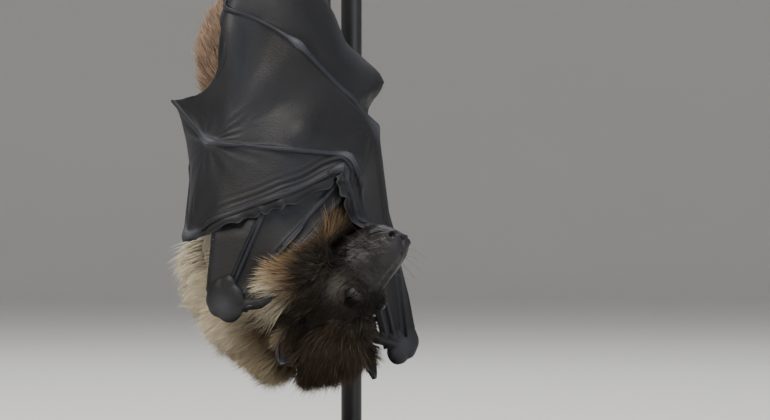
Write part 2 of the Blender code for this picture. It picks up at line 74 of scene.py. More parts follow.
def length_of(vectors: Array) -> Array:
    """Length of vectors along their last axis."""
    return np.linalg.norm(vectors, axis=-1)


def ease(low: float, high: float, value: Array) -> Array:
    """Ease from 0 at low to 1 at high."""
    share = np.clip((np.asarray(value, float) - low) / (high - low), 0.0, 1.0)
    return share * share * (3 - 2 * share)


def mix(a: Array, b: Array, share: Array) -> Array:
    """Blend from a to b."""
    return a + (b - a) * share


def hump(value: Array, middle: float, width: float, power: int = 2) -> Array:
    """Rise to 1 at a middle and fall away over a width, with a flatter top for a higher power."""
    return np.exp(-(((value - middle) / width) ** power))


def even(count: int) -> Array:
    """Evenly spaced shares from 0 to 1."""
    return np.linspace(0, 1, count)


def full_turn(sides: int) -> Array:
    """Angles of the corners of a ring."""
    return 2 * math.pi * np.arange(sides) / sides


def hand_of(side: str) -> int:
    """1 for the left side and -1 for the right side."""
    return 1 if side == "left" else -1


def linear(colour: str) -> Array:
    """Turn an sRGB hex colour into linear light.

    Args:
        colour: six hex digits.

    Returns:
        Red, green and blue from 0 to 1.
    """
    srgb = np.array([int(colour[i : i + 2], 16) for i in (0, 2, 4)]) / 255
    return np.where(srgb <= 0.04045, srgb / 12.92, ((srgb + 0.055) / 1.055) ** 2.4)


def noise(points: Array, size: float, seed: int = 0) -> Array:
    """Smooth value noise from -1 to 1, the same on every run.

    Args:
        points: N by 3 positions in millimetres.
        size: width of one blotch in millimetres.
        seed: which pattern.

    Returns:
        N values.
    """
    at = np.asarray(points, float) / size + 37.13 * seed
    cell = np.floor(at).astype(np.int64)
    part = at - cell
    part = part * part * (3 - 2 * part)
    total = np.zeros(len(at))
    for corner in range(8):
        step = np.array([corner & 1, corner >> 1 & 1, corner >> 2 & 1])
        key = (cell + step) * np.array([73856093, 19349663, 83492791])
        mixed = (key[:, 0] ^ key[:, 1] ^ key[:, 2]) & 0x7FFFFFFF
        mixed = (mixed * 1103515245 + 12345 + seed * 7919) & 0x7FFFFFFF
        mixed = ((mixed >> 7) * 48271) & 0x7FFFFFFF
        value = (mixed % 65536) / 32767.5 - 1
        weight = np.prod(np.where(step == 1, part, 1 - part), axis=1)
        total += weight * value
    return total


def lengths_along(points: Array) -> Array:
    """Distance run at each point of a polyline."""
    return np.concatenate([[0.0], np.cumsum(length_of(np.diff(points, axis=0)))])


def along_line(points: Array, places: Array) -> Array:
    """Read a polyline at fractions of its length.

    Args:
        points: N by 3 positions.
        places: shares of its length from 0 to 1.

    Returns:
        A position for each share.
    """
    points = np.asarray(points, float)
    run = lengths_along(points)
    at = np.asarray(places) * run[-1]
    return np.stack([np.interp(at, run, points[:, k]) for k in range(3)], axis=-1)


def near_line(points: Array, line: Array) -> tuple[Array, Array]:
    """Distance from points to a polyline, and the fraction of its length where that is.

    Args:
        points: N by 3 positions.
        line: M by 3 positions.

    Returns:
        N distances and N fractions.
    """
    run = lengths_along(line)
    best = np.full(len(points), 1e9)
    place = np.zeros(len(points))
    for a, b, start, end in zip(line, line[1:], run, run[1:]):
        span = b - a
        share = np.clip((points - a) @ span / max(span @ span, 1e-12), 0, 1)
        far = length_of(points - a - share[:, None] * span)
        closer = far < best
        best = np.where(closer, far, best)
        place = np.where(closer, (start + share * (end - start)) / run[-1], place)
    return best, place


@dataclass
class Shape:
    """A mesh being made: points in millimetres, faces, and a colour for each point."""

    points: Array
    faces: list
    tint: Optional[Array] = None

    def joined(self, other: "Shape") -> "Shape":
        """Put another shape's points and faces after this one's."""
        moved = [tuple(i + len(self.points) for i in face) for face in other.faces]
        return Shape(np.vstack([self.points, other.points]), [*self.faces, *moved])


def mesh_arrays(mesh: Mesh) -> Shape:
    """Read a mesh in metres as a Shape, its doubled points merged.

    Args:
        mesh: the mesh.

    Returns:
        Its shape in millimetres.
    """
    work = bmesh.new()
    work.from_mesh(mesh)
    bmesh.ops.remove_doubles(work, verts=work.verts[:], dist=1e-6)
    work.verts.index_update()
    points = np.array([v.co for v in work.verts]) / MM
    faces = [tuple(v.index for v in f.verts) for f in work.faces]
    work.free()
    return Shape(points, faces)


def cad_shape(*names: str) -> Shape:
    """One Shape of several CAD nodes."""
    return reduce(Shape.joined, [mesh_arrays(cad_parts[name].data) for name in names])


def cad_centre(name: str) -> Array:
    """Middle of a CAD node's box, in millimetres."""
    low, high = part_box(name)
    return np.array((low + high) / 2) / MM


def painted(mesh: Mesh, tint: Array) -> None:
    """Store a colour for each point of a mesh.

    Args:
        mesh: the mesh to colour.
        tint: linear colours, kept as the Tint attribute.
    """
    layer = mesh.color_attributes.new("Tint", "FLOAT_COLOR", "POINT")
    rgba = np.ones((len(mesh.vertices), 4), np.float32)
    rgba[:, :3] = tint
    layer.data.foreach_set("color", rgba.ravel())


def linked(name: str, data: ID) -> Object:
    """Put a new object in the scene.

    Args:
        name: its name.
        data: its mesh, light or camera.

    Returns:
        The object.
    """
    item = bpy.data.objects.new(name, data)
    bpy.context.scene.collection.objects.link(item)
    return item


def as_seen(item: Object) -> Mesh:
    """Take an object out of the scene as a plain mesh of what its modifiers make.

    Args:
        item: the working object.

    Returns:
        The mesh.
    """
    mesh = bpy.data.meshes.new_from_object(item.evaluated_get(bpy.context.evaluated_depsgraph_get()))
    item.modifiers.clear()
    bpy.data.objects.remove(item)
    return mesh


def to_mesh(name: str, shape: Shape) -> Mesh:
    """Make a smooth-shaded mesh in metres from a Shape.

    Args:
        name: the mesh's name.
        shape: its points, faces and colours.

    Returns:
        The mesh.
    """
    mesh = bpy.data.meshes.new(name)
    points = np.asarray(shape.points, np.float32) * MM
    sizes = np.array([len(f) for f in shape.faces], np.int32)
    loops = np.concatenate([np.asarray(f, np.int32) for f in shape.faces])
    mesh.vertices.add(len(points))
    mesh.vertices.foreach_set("co", points.ravel())
    mesh.loops.add(len(loops))
    mesh.loops.foreach_set("vertex_index", loops)
    mesh.polygons.add(len(sizes))
    starts = np.cumsum(sizes) - sizes
    mesh.polygons.foreach_set("loop_start", starts.astype(np.int32))
    mesh.polygons.foreach_set("use_smooth", np.ones(len(sizes), bool))
    mesh.update(calc_edges=True)
    mesh.validate()
    if shape.tint is not None:
        painted(mesh, shape.tint)
    return mesh


def place(name: str, form: "Shape | Mesh", material: Material, slot: str,
          replaced: Sequence[str] = ()) -> None:
    """Put a finished piece in the scene, riding on the body, and hide the CAD nodes that it stands for.

    Args:
        name: the piece's name.
        form: its shape in millimetres, or its mesh in metres.
        material: its finish.
        slot: not used.
        replaced: the CAD nodes that it stands for.
    """
    mesh = to_mesh(name, form) if isinstance(form, Shape) else form
    mesh.materials.clear()
    mesh.materials.append(material)
    piece = linked(name, mesh)
    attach(piece, "root")
    if replaced:
        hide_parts(*replaced)
    LOG.info("%s: %d faces", name, len(mesh.polygons))


def remeshed(shape: Shape, voxel: float, smoothing: int = 2) -> Shape:
    """Fuse overlapping closed shapes into one skin.

    Args:
        shape: the closed shapes, joined.
        voxel: side of a voxel in millimetres.
        smoothing: rounds of smoothing afterwards.

    Returns:
        The skin.
    """
    work = linked("work", to_mesh("work", shape))
    fuse = work.modifiers.new("fuse", "REMESH")
    fuse.mode, fuse.voxel_size = "VOXEL", voxel * MM
    smooth = work.modifiers.new("smooth", "SMOOTH")
    smooth.factor, smooth.iterations = 0.5, smoothing
    return mesh_arrays(as_seen(work))


def triangles_of(shape: Shape) -> Array:
    """Split a shape's faces into triangles."""
    return np.array([(f[0], f[k], f[k + 1]) for f in shape.faces for k in range(1, len(f) - 1)])


def point_normals(shape: Shape) -> Array:
    """Outward direction at each point of a shape.

    Args:
        shape: the shape.

    Returns:
        N by 3 directions.
    """
    corners = triangles_of(shape)
    a, b, c = (shape.points[corners[:, k]] for k in range(3))
    across = np.cross(b - a, c - a)
    total = np.zeros_like(shape.points)
    for k in range(3):
        np.add.at(total, corners[:, k], across)
    return unit(total)


def tree_of(*shapes: Shape) -> BVHTree:
    """A search tree over the faces of several shapes."""
    whole = reduce(Shape.joined, shapes)
    return BVHTree.FromPolygons([Vector(p) for p in whole.points], whole.faces)


def facing_out(shape: Shape) -> Shape:
    """Turn the faces of a closed shape round where it is inside out.

    Args:
        shape: the closed shape.

    Returns:
        The same shape, facing outwards.
    """
    a, b, c = np.moveaxis(shape.points[triangles_of(shape)], 1, 0)
    if np.sum(a * np.cross(b, c)) < 0:
        shape.faces = [face[::-1] for face in shape.faces]
    return shape


def ring_quads(index: Array) -> list[tuple]:
    """Quads between the rows of a grid of point numbers, each row a closed ring.

    Args:
        index: rows by sides point numbers.

    Returns:
        The faces, row by row.
    """
    beside = np.roll(index, -1, axis=1)
    quads = np.stack([index[:-1], beside[:-1], beside[1:], index[1:]], -1)
    return [*map(tuple, quads.reshape(-1, 4))]


def lofted(rings: Array, poles: Array) -> Shape:
    """Join a stack of rings and close each end with a fan.

    Args:
        rings: rows by sides by 3 points.
        poles: the points that close the first and the last ring.

    Returns:
        The closed shape.
    """
    rows, sides = rings.shape[:2]
    index = np.arange(rows * sides).reshape(rows, sides)
    faces = ring_quads(index)
    for k in range(sides):
        after = (k + 1) % sides
        faces.append((rows * sides, index[0, after], index[0, k]))
        faces.append((rows * sides + 1, index[-1, k], index[-1, after]))
    return facing_out(Shape(np.vstack([rings.reshape(-1, 3), poles]), faces))


def grid_normals(grid: Array) -> Array:
    """Directions across a grid of points."""
    return unit(np.cross(np.gradient(grid, axis=0), np.gradient(grid, axis=1)))


def closed_sheet(top: Array, below: Array, tint: Array, shade: float = 1.0, crosswise: bool = False) -> Shape:
    """Join two grids of points into one thin closed sheet.

    Args:
        top: rows by columns by 3 points.
        below: the same for the other face.
        tint: a colour for each point of the top.
        shade: how bright the other face is beside it.
        crosswise: whether faces are listed along the columns first, which random roots depend on.

    Returns:
        The closed shape with its colours.
    """
    rows, columns = top.shape[:2]
    count = rows * columns
    index = np.arange(count).reshape(rows, columns)
    quads = np.stack([index[:-1, :-1], index[1:, :-1], index[1:, 1:], index[:-1, 1:]], -1).reshape(-1, 4)
    rim = [*index[0, :], *index[1:, -1], *index[-1, -2::-1], *index[-2:0:-1, 0]]
    onward = [*rim[1:], rim[0]]
    if crosswise:
        quads, rim, onward = quads[:, [0, 3, 2, 1]], onward, rim
    walls = [(p, q, q + count, p + count) for p, q in zip(rim, onward)]
    faces = [*map(tuple, quads), *map(tuple, quads[:, ::-1] + count), *walls]
    points = np.vstack([top.reshape(-1, 3), below.reshape(-1, 3)])
    return facing_out(Shape(points, faces, np.vstack([tint, tint * shade])))


def thickened(middle: Array, half: "Array | float", tint: Array) -> Shape:
    """Give a grid of points a wall, half of it to each side."""
    wall = grid_normals(middle) * half
    return closed_sheet(middle + wall, middle - wall, tint)


def ball(centre: Array, radii: Sequence[float], axes: Optional[Array] = None, rings: int = 16) -> Shape:
    """An ellipsoid of latitude rings.

    Args:
        centre: its middle.
        radii: half its size along each axis.
        axes: three directions as rows, or None for the frame's own.
        rings: how many rings from pole to pole.

    Returns:
        The closed shape.
    """
    polar = (math.pi * np.arange(1, rings) / rings)[:, None]
    turn = full_turn(rings * 2)
    ways = (np.sin(polar) * np.cos(turn), np.sin(polar) * np.sin(turn), np.cos(polar))
    rows = np.stack(np.broadcast_arrays(*ways), -1)
    stretch = np.diag(radii) @ (np.eye(3) if axes is None else axes)
    poles = np.array([(0.0, 0.0, 1.0), (0.0, 0.0, -1.0)])
    return lofted(centre + rows @ stretch, centre + poles @ stretch)


def tube(line: Array, radii: Array, sides: int = 12) -> Shape:
    """A round bar along a line, with domed ends.

    Args:
        line: N by 3 centres.
        radii: N radii.
        sides: corners of each ring.

    Returns:
        The closed shape.
    """
    line, radii = np.asarray(line, float), np.asarray(radii, float)
    ways = unit(np.gradient(line, axis=0))
    side = unit(np.cross(ways[0], (0.31, 0.17, 0.93)))
    turn = full_turn(sides)
    rings = []
    for centre, way, radius in zip(line, ways, radii):
        side = unit(side - (side @ way) * way)
        across = np.cross(way, side)
        rings.append(centre + radius * (np.outer(np.cos(turn), side) + np.outer(np.sin(turn), across)))
    poles = [line[0] - ways[0] * radii[0] * 0.6, line[-1] + ways[-1] * radii[-1] * 0.6]
    return lofted(np.array(rings), poles)


def layered(colour: Array, *layers: tuple[str, Array]) -> Array:
    """Lay colours over a colour, each by its own share at each point.

    Args:
        colour: the linear colour beneath.
        layers: sRGB hex colours and N shares of each, from the lowest up.

    Returns:
        N by 3 linear colours.
    """
    for hex_colour, share in layers:
        colour = mix(colour, linear(hex_colour), share[:, None])
    return colour


# ---- finishes


def add_node(tree: NodeTree, kind: str, inputs: Optional[dict] = None, **settings: str) -> Node:
    """Add a node, set its properties, and set or link its inputs.

    Args:
        tree: where it goes.
        kind: the node's type.
        inputs: socket names or numbers, with a value or another node's output for each.
        settings: property names and values.

    Returns:
        The node.
    """
    node = tree.nodes.new(kind)
    for key, value in settings.items():
        setattr(node, key, value)
    for key, value in (inputs or {}).items():
        if isinstance(value, NodeSocket):
            tree.links.new(value, node.inputs[key])
        else:
            node.inputs[key].default_value = value
    return node


class Tones(Enum):
    """Where a finish takes its colour from."""

    POINTS = "Tint attribute of the mesh"
    GRAIN = "bands between two colours"
    PLAIN = "two colours in soft blotches"


@dataclass(frozen=True)
class Finish:
    """One real finish: its colours, gloss, and relief sized in millimetres."""

    name: str
    tones: Tones
    light: str = "808080"
    dark: str = "404040"
    blotch: float = 20.0
    stretch: Point = (1.0, 1.0, 1.0)
    roughness: tuple[float, float] = (0.5, 0.6)
    relief: float = 1.0
    relief_depth: float = 0.1
    cells: float = 0.0
    change: float = 0.12
    metallic: float = 0.0
    specular: float = 0.5
    sheen: float = 0.0
    sheen_tint: str = "FFFFFF"
    coat: float = 0.0

    def material(self) -> Material:
        """Build the procedural material.

        Returns:
            The material.
        """
        made = bpy.data.materials.new(self.name)
        made.use_nodes = True
        tree = made.node_tree
        surface = tree.nodes["Principled BSDF"]
        place_in = add_node(tree, "ShaderNodeTexCoord").outputs["Object"]
        stretched = add_node(tree, "ShaderNodeMapping", {"Vector": place_in, "Scale": self.stretch})
        vector = stretched.outputs["Vector"]
        blots = add_node(tree, "ShaderNodeTexNoise", {
            "Vector": vector, "Scale": 1 / (self.blotch * MM), "Detail": 5.0, "Roughness": 0.6})
        if self.tones is Tones.POINTS:
            own = add_node(tree, "ShaderNodeAttribute", attribute_name="Tint").outputs["Color"]
            shade = add_node(tree, "ShaderNodeMapRange", {
                "Value": blots.outputs["Fac"], "From Min": 0.3, "From Max": 0.7,
                "To Min": 1 - self.change, "To Max": 1 + self.change})
            scaled = add_node(tree, "ShaderNodeVectorMath", {
                0: own, "Scale": shade.outputs["Result"]}, operation="SCALE")
            colour = scaled.outputs["Vector"]
        else:
            factor = blots.outputs["Fac"]
            if self.tones is Tones.GRAIN:
                bands = add_node(tree, "ShaderNodeTexWave", {
                    "Vector": vector, "Scale": 1 / (self.blotch * MM), "Distortion": 6.0, "Detail": 4.0,
                    "Detail Scale": 1.6}, wave_type="BANDS", bands_direction="Y")
                factor = bands.outputs["Fac"]
            ramp = add_node(tree, "ShaderNodeMix", {
                "Factor": factor, 6: (*linear(self.dark), 1), 7: (*linear(self.light), 1)}, data_type="RGBA")
            colour = ramp.outputs[2]
        tree.links.new(colour, surface.inputs["Base Color"])
        gloss = add_node(tree, "ShaderNodeMapRange", {
            "Value": blots.outputs["Fac"], "From Min": 0.3, "From Max": 0.7,
            "To Min": self.roughness[0], "To Max": self.roughness[1]})
        tree.links.new(gloss.outputs["Result"], surface.inputs["Roughness"])
        if self.relief_depth > 0:
            grain = add_node(tree, "ShaderNodeTexNoise", {
                "Vector": vector, "Scale": 1 / (self.relief * MM), "Detail": 4.0, "Roughness": 0.62})
            height = grain.outputs["Fac"]
            if self.cells > 0:
                cells = add_node(tree, "ShaderNodeTexVoronoi", {
                    "Vector": vector, "Scale": 1 / (self.cells * MM)}, feature="DISTANCE_TO_EDGE")
                folded = add_node(tree, "ShaderNodeMath", {
                    0: cells.outputs["Distance"], 1: 1.2, 2: height}, operation="MULTIPLY_ADD")
                height = folded.outputs["Value"]
            bump = add_node(tree, "ShaderNodeBump", {
                "Height": height, "Strength": 1.0, "Distance": self.relief_depth * MM})
            tree.links.new(bump.outputs["Normal"], surface.inputs["Normal"])
        for socket, value in (("Metallic", self.metallic), ("Specular IOR Level", self.specular),
                              ("Sheen Weight", self.sheen), ("Sheen Tint", (*linear(self.sheen_tint), 1)),
                              ("Coat Weight", self.coat)):
            surface.inputs[socket].default_value = value
        return made


# Living wing skin: thin, dry and finely creased, so broad soft highlights along each ridge.
WING_SKIN = Finish("wing_membrane_skin", Tones.POINTS, blotch=9, roughness=(0.52, 0.64), relief=0.8,
                   relief_depth=0.08, cells=1.3, change=0.14, specular=0.42,
                   sheen=0.04, sheen_tint="A9B4CC")
# Bare and thinly haired skin of the muzzle: darker, pored, a little moist.
FACE_SKIN = Finish("muzzle_skin", Tones.POINTS, blotch=6, roughness=(0.36, 0.52), relief=0.55,
                   relief_depth=0.14, cells=0.9, change=0.14, specular=0.45)
# The skin under the coat, seen only between hairs.
BODY_SKIN = Finish("underfur", Tones.POINTS, blotch=5, roughness=(0.85, 0.95), relief=0.7,
                   relief_depth=0.35, change=0.2, specular=0.15)
# Fine soft hair: matt, with the light caught along each lock.
FUR = Finish("soft_fur", Tones.POINTS, blotch=4, roughness=(0.62, 0.78), relief_depth=0.0,
             change=0.10, specular=0.24, sheen=0.14, sheen_tint="FFF0DC")
# Wet eyeball: near-black brown under a clear glossy layer.
EYE = Finish("wet_dark_eye", Tones.PLAIN, "1A110B", "060403", blotch=2, roughness=(0.12, 0.16),
             relief_depth=0.0, specular=0.3, coat=0.15)
# Horn claws: dark, worn smooth, a soft shine.
CLAW = Finish("dark_horn_claw", Tones.GRAIN, "38322C", "131110", blotch=2.2, roughness=(0.25, 0.4),
              relief=0.5, relief_depth=0.05, coat=0.2)
# Whiskers: stiff grey-brown hairs with a bright edge.
WHISKER = Finish("whisker", Tones.PLAIN, "7A7169", "4A443F", blotch=4, roughness=(0.35, 0.45),
                 relief_depth=0.0)
# Bark of a dead branch: furrowed, grey-brown and quite matt.
BARK = Finish("weathered_bark", Tones.POINTS, blotch=7, roughness=(0.78, 0.95), relief=1.6,
              relief_depth=0.7, cells=5.0, change=0.3, specular=0.2)
# Sawn end of the branch: pale wood.
SAWN = Finish("sawn_end_grain", Tones.POINTS, blotch=3, roughness=(0.7, 0.85), relief=0.8,
              relief_depth=0.15, change=0.15, specular=0.25)
# Stained and lacquered oak plate: warm dark grain under a satin film.
STAND_WOOD = Finish("lacquered_stained_oak", Tones.GRAIN, "4B3426", "2B1D15", blotch=9,
                    stretch=(0.14, 1.0, 1.0), roughness=(0.3, 0.42), relief=1.2, relief_depth=0.06,
                    coat=0.25)
# Powder-coated steel rod: even satin black with a fine orange-peel.
STAND_METAL = Finish("satin_black_powder_coat", Tones.PLAIN, "2A2B2D", "222325", blotch=12,
                     roughness=(0.36, 0.44), relief=0.8, relief_depth=0.02)
# Studio floor and wall: plain pale matt board.
FLOOR = Finish("pale_studio_board", Tones.PLAIN, "D9D7D3", "D4D2CE", blotch=400, roughness=(0.8, 0.9),
               relief_depth=0.0, specular=0.2)


# ---- colours of the coat and skin


@dataclass(frozen=True)
class Markings:
    """The animal's own colours, with a painted golden glow of backlight along the crown's lower rim, read by
    skin and coat alike from a place on the body.
    """

    cream: str = "BDB49E"
    blond: str = "9E9068"
    golden: str = "80684A"
    umber: str = "19140F"
    face: str = "161312"
    rump: str = "8E7968"
    grey: str = "8F8780"

    def at(self, points: Array, head: "HeadAxes") -> Array:
        """Colour of the coat at places on the body.

        Args:
            points: N by 3 places in millimetres.
            head: the head's axes, for the mask and ruff.

        Returns:
            N by 3 linear colours.
        """
        along, side, up = head.local(points).T
        blot = noise(points, 9.0, 1) * 0.5 + noise(points, 4.0, 2) * 0.3
        out = np.hypot(side, up) + 3.0 * blot
        nape = ease(-44, -30, along + 6 * blot) * ease(-2, 12, up + 5 * blot)
        trunk = ease(100, 118, points[:, 2] + 6 * blot)
        beside = ease(14, 22, np.abs(side)) * ease(12, 4, up)
        ruff = ease(38, 31, out) * ease(2, 11, along + 4 * blot)
        crown = ease(-22, -10, along) * ease(27, 22, out + 4 * beside)
        rear = 0.34 * np.maximum(0, 12 - along) * beside
        throat = 5.5 * ease(-7, -14, up) * ease(32, 26, along)
        mask = ease(28.0, 23.0, out + rear + throat) * ease(-17, -5, along + 3 * blot)
        # Painted backlight: a golden glow in the hair along the crown's lower rim.
        edge = ease(16.5, 23, up + 3 * blot) * ease(12, -3, along)
        muzzle = ease(6, 20, along + 3 * blot) * ease(26, 20, out + throat)
        cheek = hump(along, 17, 4.5) * hump(up, 1, 4.0) * (np.abs(side) > 5)
        colour = layered(
            linear(self.cream), (self.blond, 0.5 * nape), (self.rump, trunk),
            (self.golden, 0.92 * np.maximum(ruff, crown)), (self.umber, 0.95 * mask),
            (self.golden, 0.8 * edge), (self.face, muzzle), (self.grey, 0.45 * cheek))
        return np.clip(colour * (1 + 0.16 * blot[:, None]), 0, 1)


@dataclass(frozen=True)
class HeadAxes:
    """Where the head is and how it is turned: along the snout, to its left, and to its crown."""

    centre: Point = (1.4, -15.6, 63.0)
    snout: Point = (0.272, -0.760, 0.589)
    left: Point = (-0.9615, -0.170, 0.220)
    crown: Point = (-0.068, -0.626, -0.776)

    def matrix(self) -> Array:
        """The three directions as rows."""
        return unit(np.array([self.snout, self.left, self.crown]))

    def place(self, along: Array, side: Array, up: Array) -> Array:
        """Points in the frame from head measures."""
        local = np.stack(np.broadcast_arrays(along, side, up), -1).astype(float)
        return np.asarray(self.centre) + local @ self.matrix()

    def local(self, points: Array) -> Array:
        """Head measures of points in the frame, as columns along, side, up."""
        return (np.asarray(points) - np.asarray(self.centre)) @ np.linalg.inv(self.matrix())


HEAD = HeadAxes()
MARKS = Markings()


# ---- wings


@dataclass(frozen=True)
class WrapAxis:
    """The upright line that the wings are folded round."""

    x: float = 0.0
    y: float = 4.0

    def to_round(self, points: Array) -> Array:
        """Angle from the belly to the right side, radius and height of points."""
        points = np.asarray(points, float)
        across, away = points[..., 0] - self.x, points[..., 1] - self.y
        return np.stack([np.arctan2(across, -away), np.hypot(across, away), points[..., 2]], -1)

    def from_round(self, rounds: Array) -> Array:
        """Points at angles, radii and heights."""
        angle, radius, height = np.moveaxis(np.asarray(rounds, float), -1, 0)
        return np.stack([self.x + radius * np.sin(angle), self.y - radius * np.cos(angle), height], -1)


AXIS = WrapAxis()


class Envelope:
    """How far out solids reach at each angle and height about the wrap axis."""

    STEP = math.radians(2.5)
    RISE = 1.5
    LOW, HIGH = 30.0, 276.0
    FAR = 150.0

    def __init__(self, shape: Shape, spread: int = 2, evening: int = 3) -> None:
        """Measure a shape.

        Args:
            shape: the solids to stay outside of.
            spread: how many cells each reach is widened by.
            evening: rounds of evening out, more for a skin that bridges what is beneath.
        """
        tree = BVHTree.FromPolygons([Vector(p) for p in shape.points], triangles_of(shape).tolist())
        angles = np.arange(-math.pi, math.pi - 1e-6, self.STEP)
        heights = np.arange(self.LOW, self.HIGH, self.RISE)
        reach = np.zeros((len(angles), len(heights)))
        for i, angle in enumerate(angles):
            way = Vector((math.sin(angle), -math.cos(angle), 0.0))
            for j, height in enumerate(heights):
                start = Vector((AXIS.x, AXIS.y, height)) + way * self.FAR
                hit = tree.ray_cast(start, -way, self.FAR)
                if hit[0] is not None:
                    reach[i, j] = self.FAR - hit[3]
        widened = reach.copy()
        for turn in range(-spread, spread + 1):
            for rise in range(-spread, spread + 1):
                if turn * turn + rise * rise <= spread * spread + 0.5:
                    widened = np.maximum(widened, self.shifted(reach, turn, rise))
        for _ in range(evening):
            near = [self.shifted(widened, t, r) for t, r in ((1, 0), (-1, 0), (0, 1), (0, -1))]
            widened = (widened * 2 + sum(near)) / 6
        self.reach = np.maximum(widened, reach + 0.1)

    @staticmethod
    def shifted(grid: Array, turn: int, rise: int) -> Array:
        """The grid moved by whole cells, round in angle and held at its ends in height."""
        index = np.clip(np.arange(grid.shape[1]) + rise, 0, grid.shape[1] - 1)
        return np.roll(grid, turn, axis=0)[:, index]

    def at(self, angle: Array, height: Array) -> Array:
        """Reach at angles and heights, read between cells.

        Args:
            angle: angles about the axis, in radians.
            height: heights in millimetres.

        Returns:
            A reach for each.
        """
        turns = (np.asarray(angle) + math.pi) / self.STEP
        rises = np.clip((np.asarray(height) - self.LOW) / self.RISE, 0, self.reach.shape[1] - 1.001)
        i, j = np.floor(turns).astype(int), np.floor(rises).astype(int)
        a, b = turns - i, rises - j
        count = self.reach.shape[0]
        low, high = (mix(self.reach[i % count, k], self.reach[(i + 1) % count, k], a) for k in (j, j + 1))
        return mix(low, high, b)


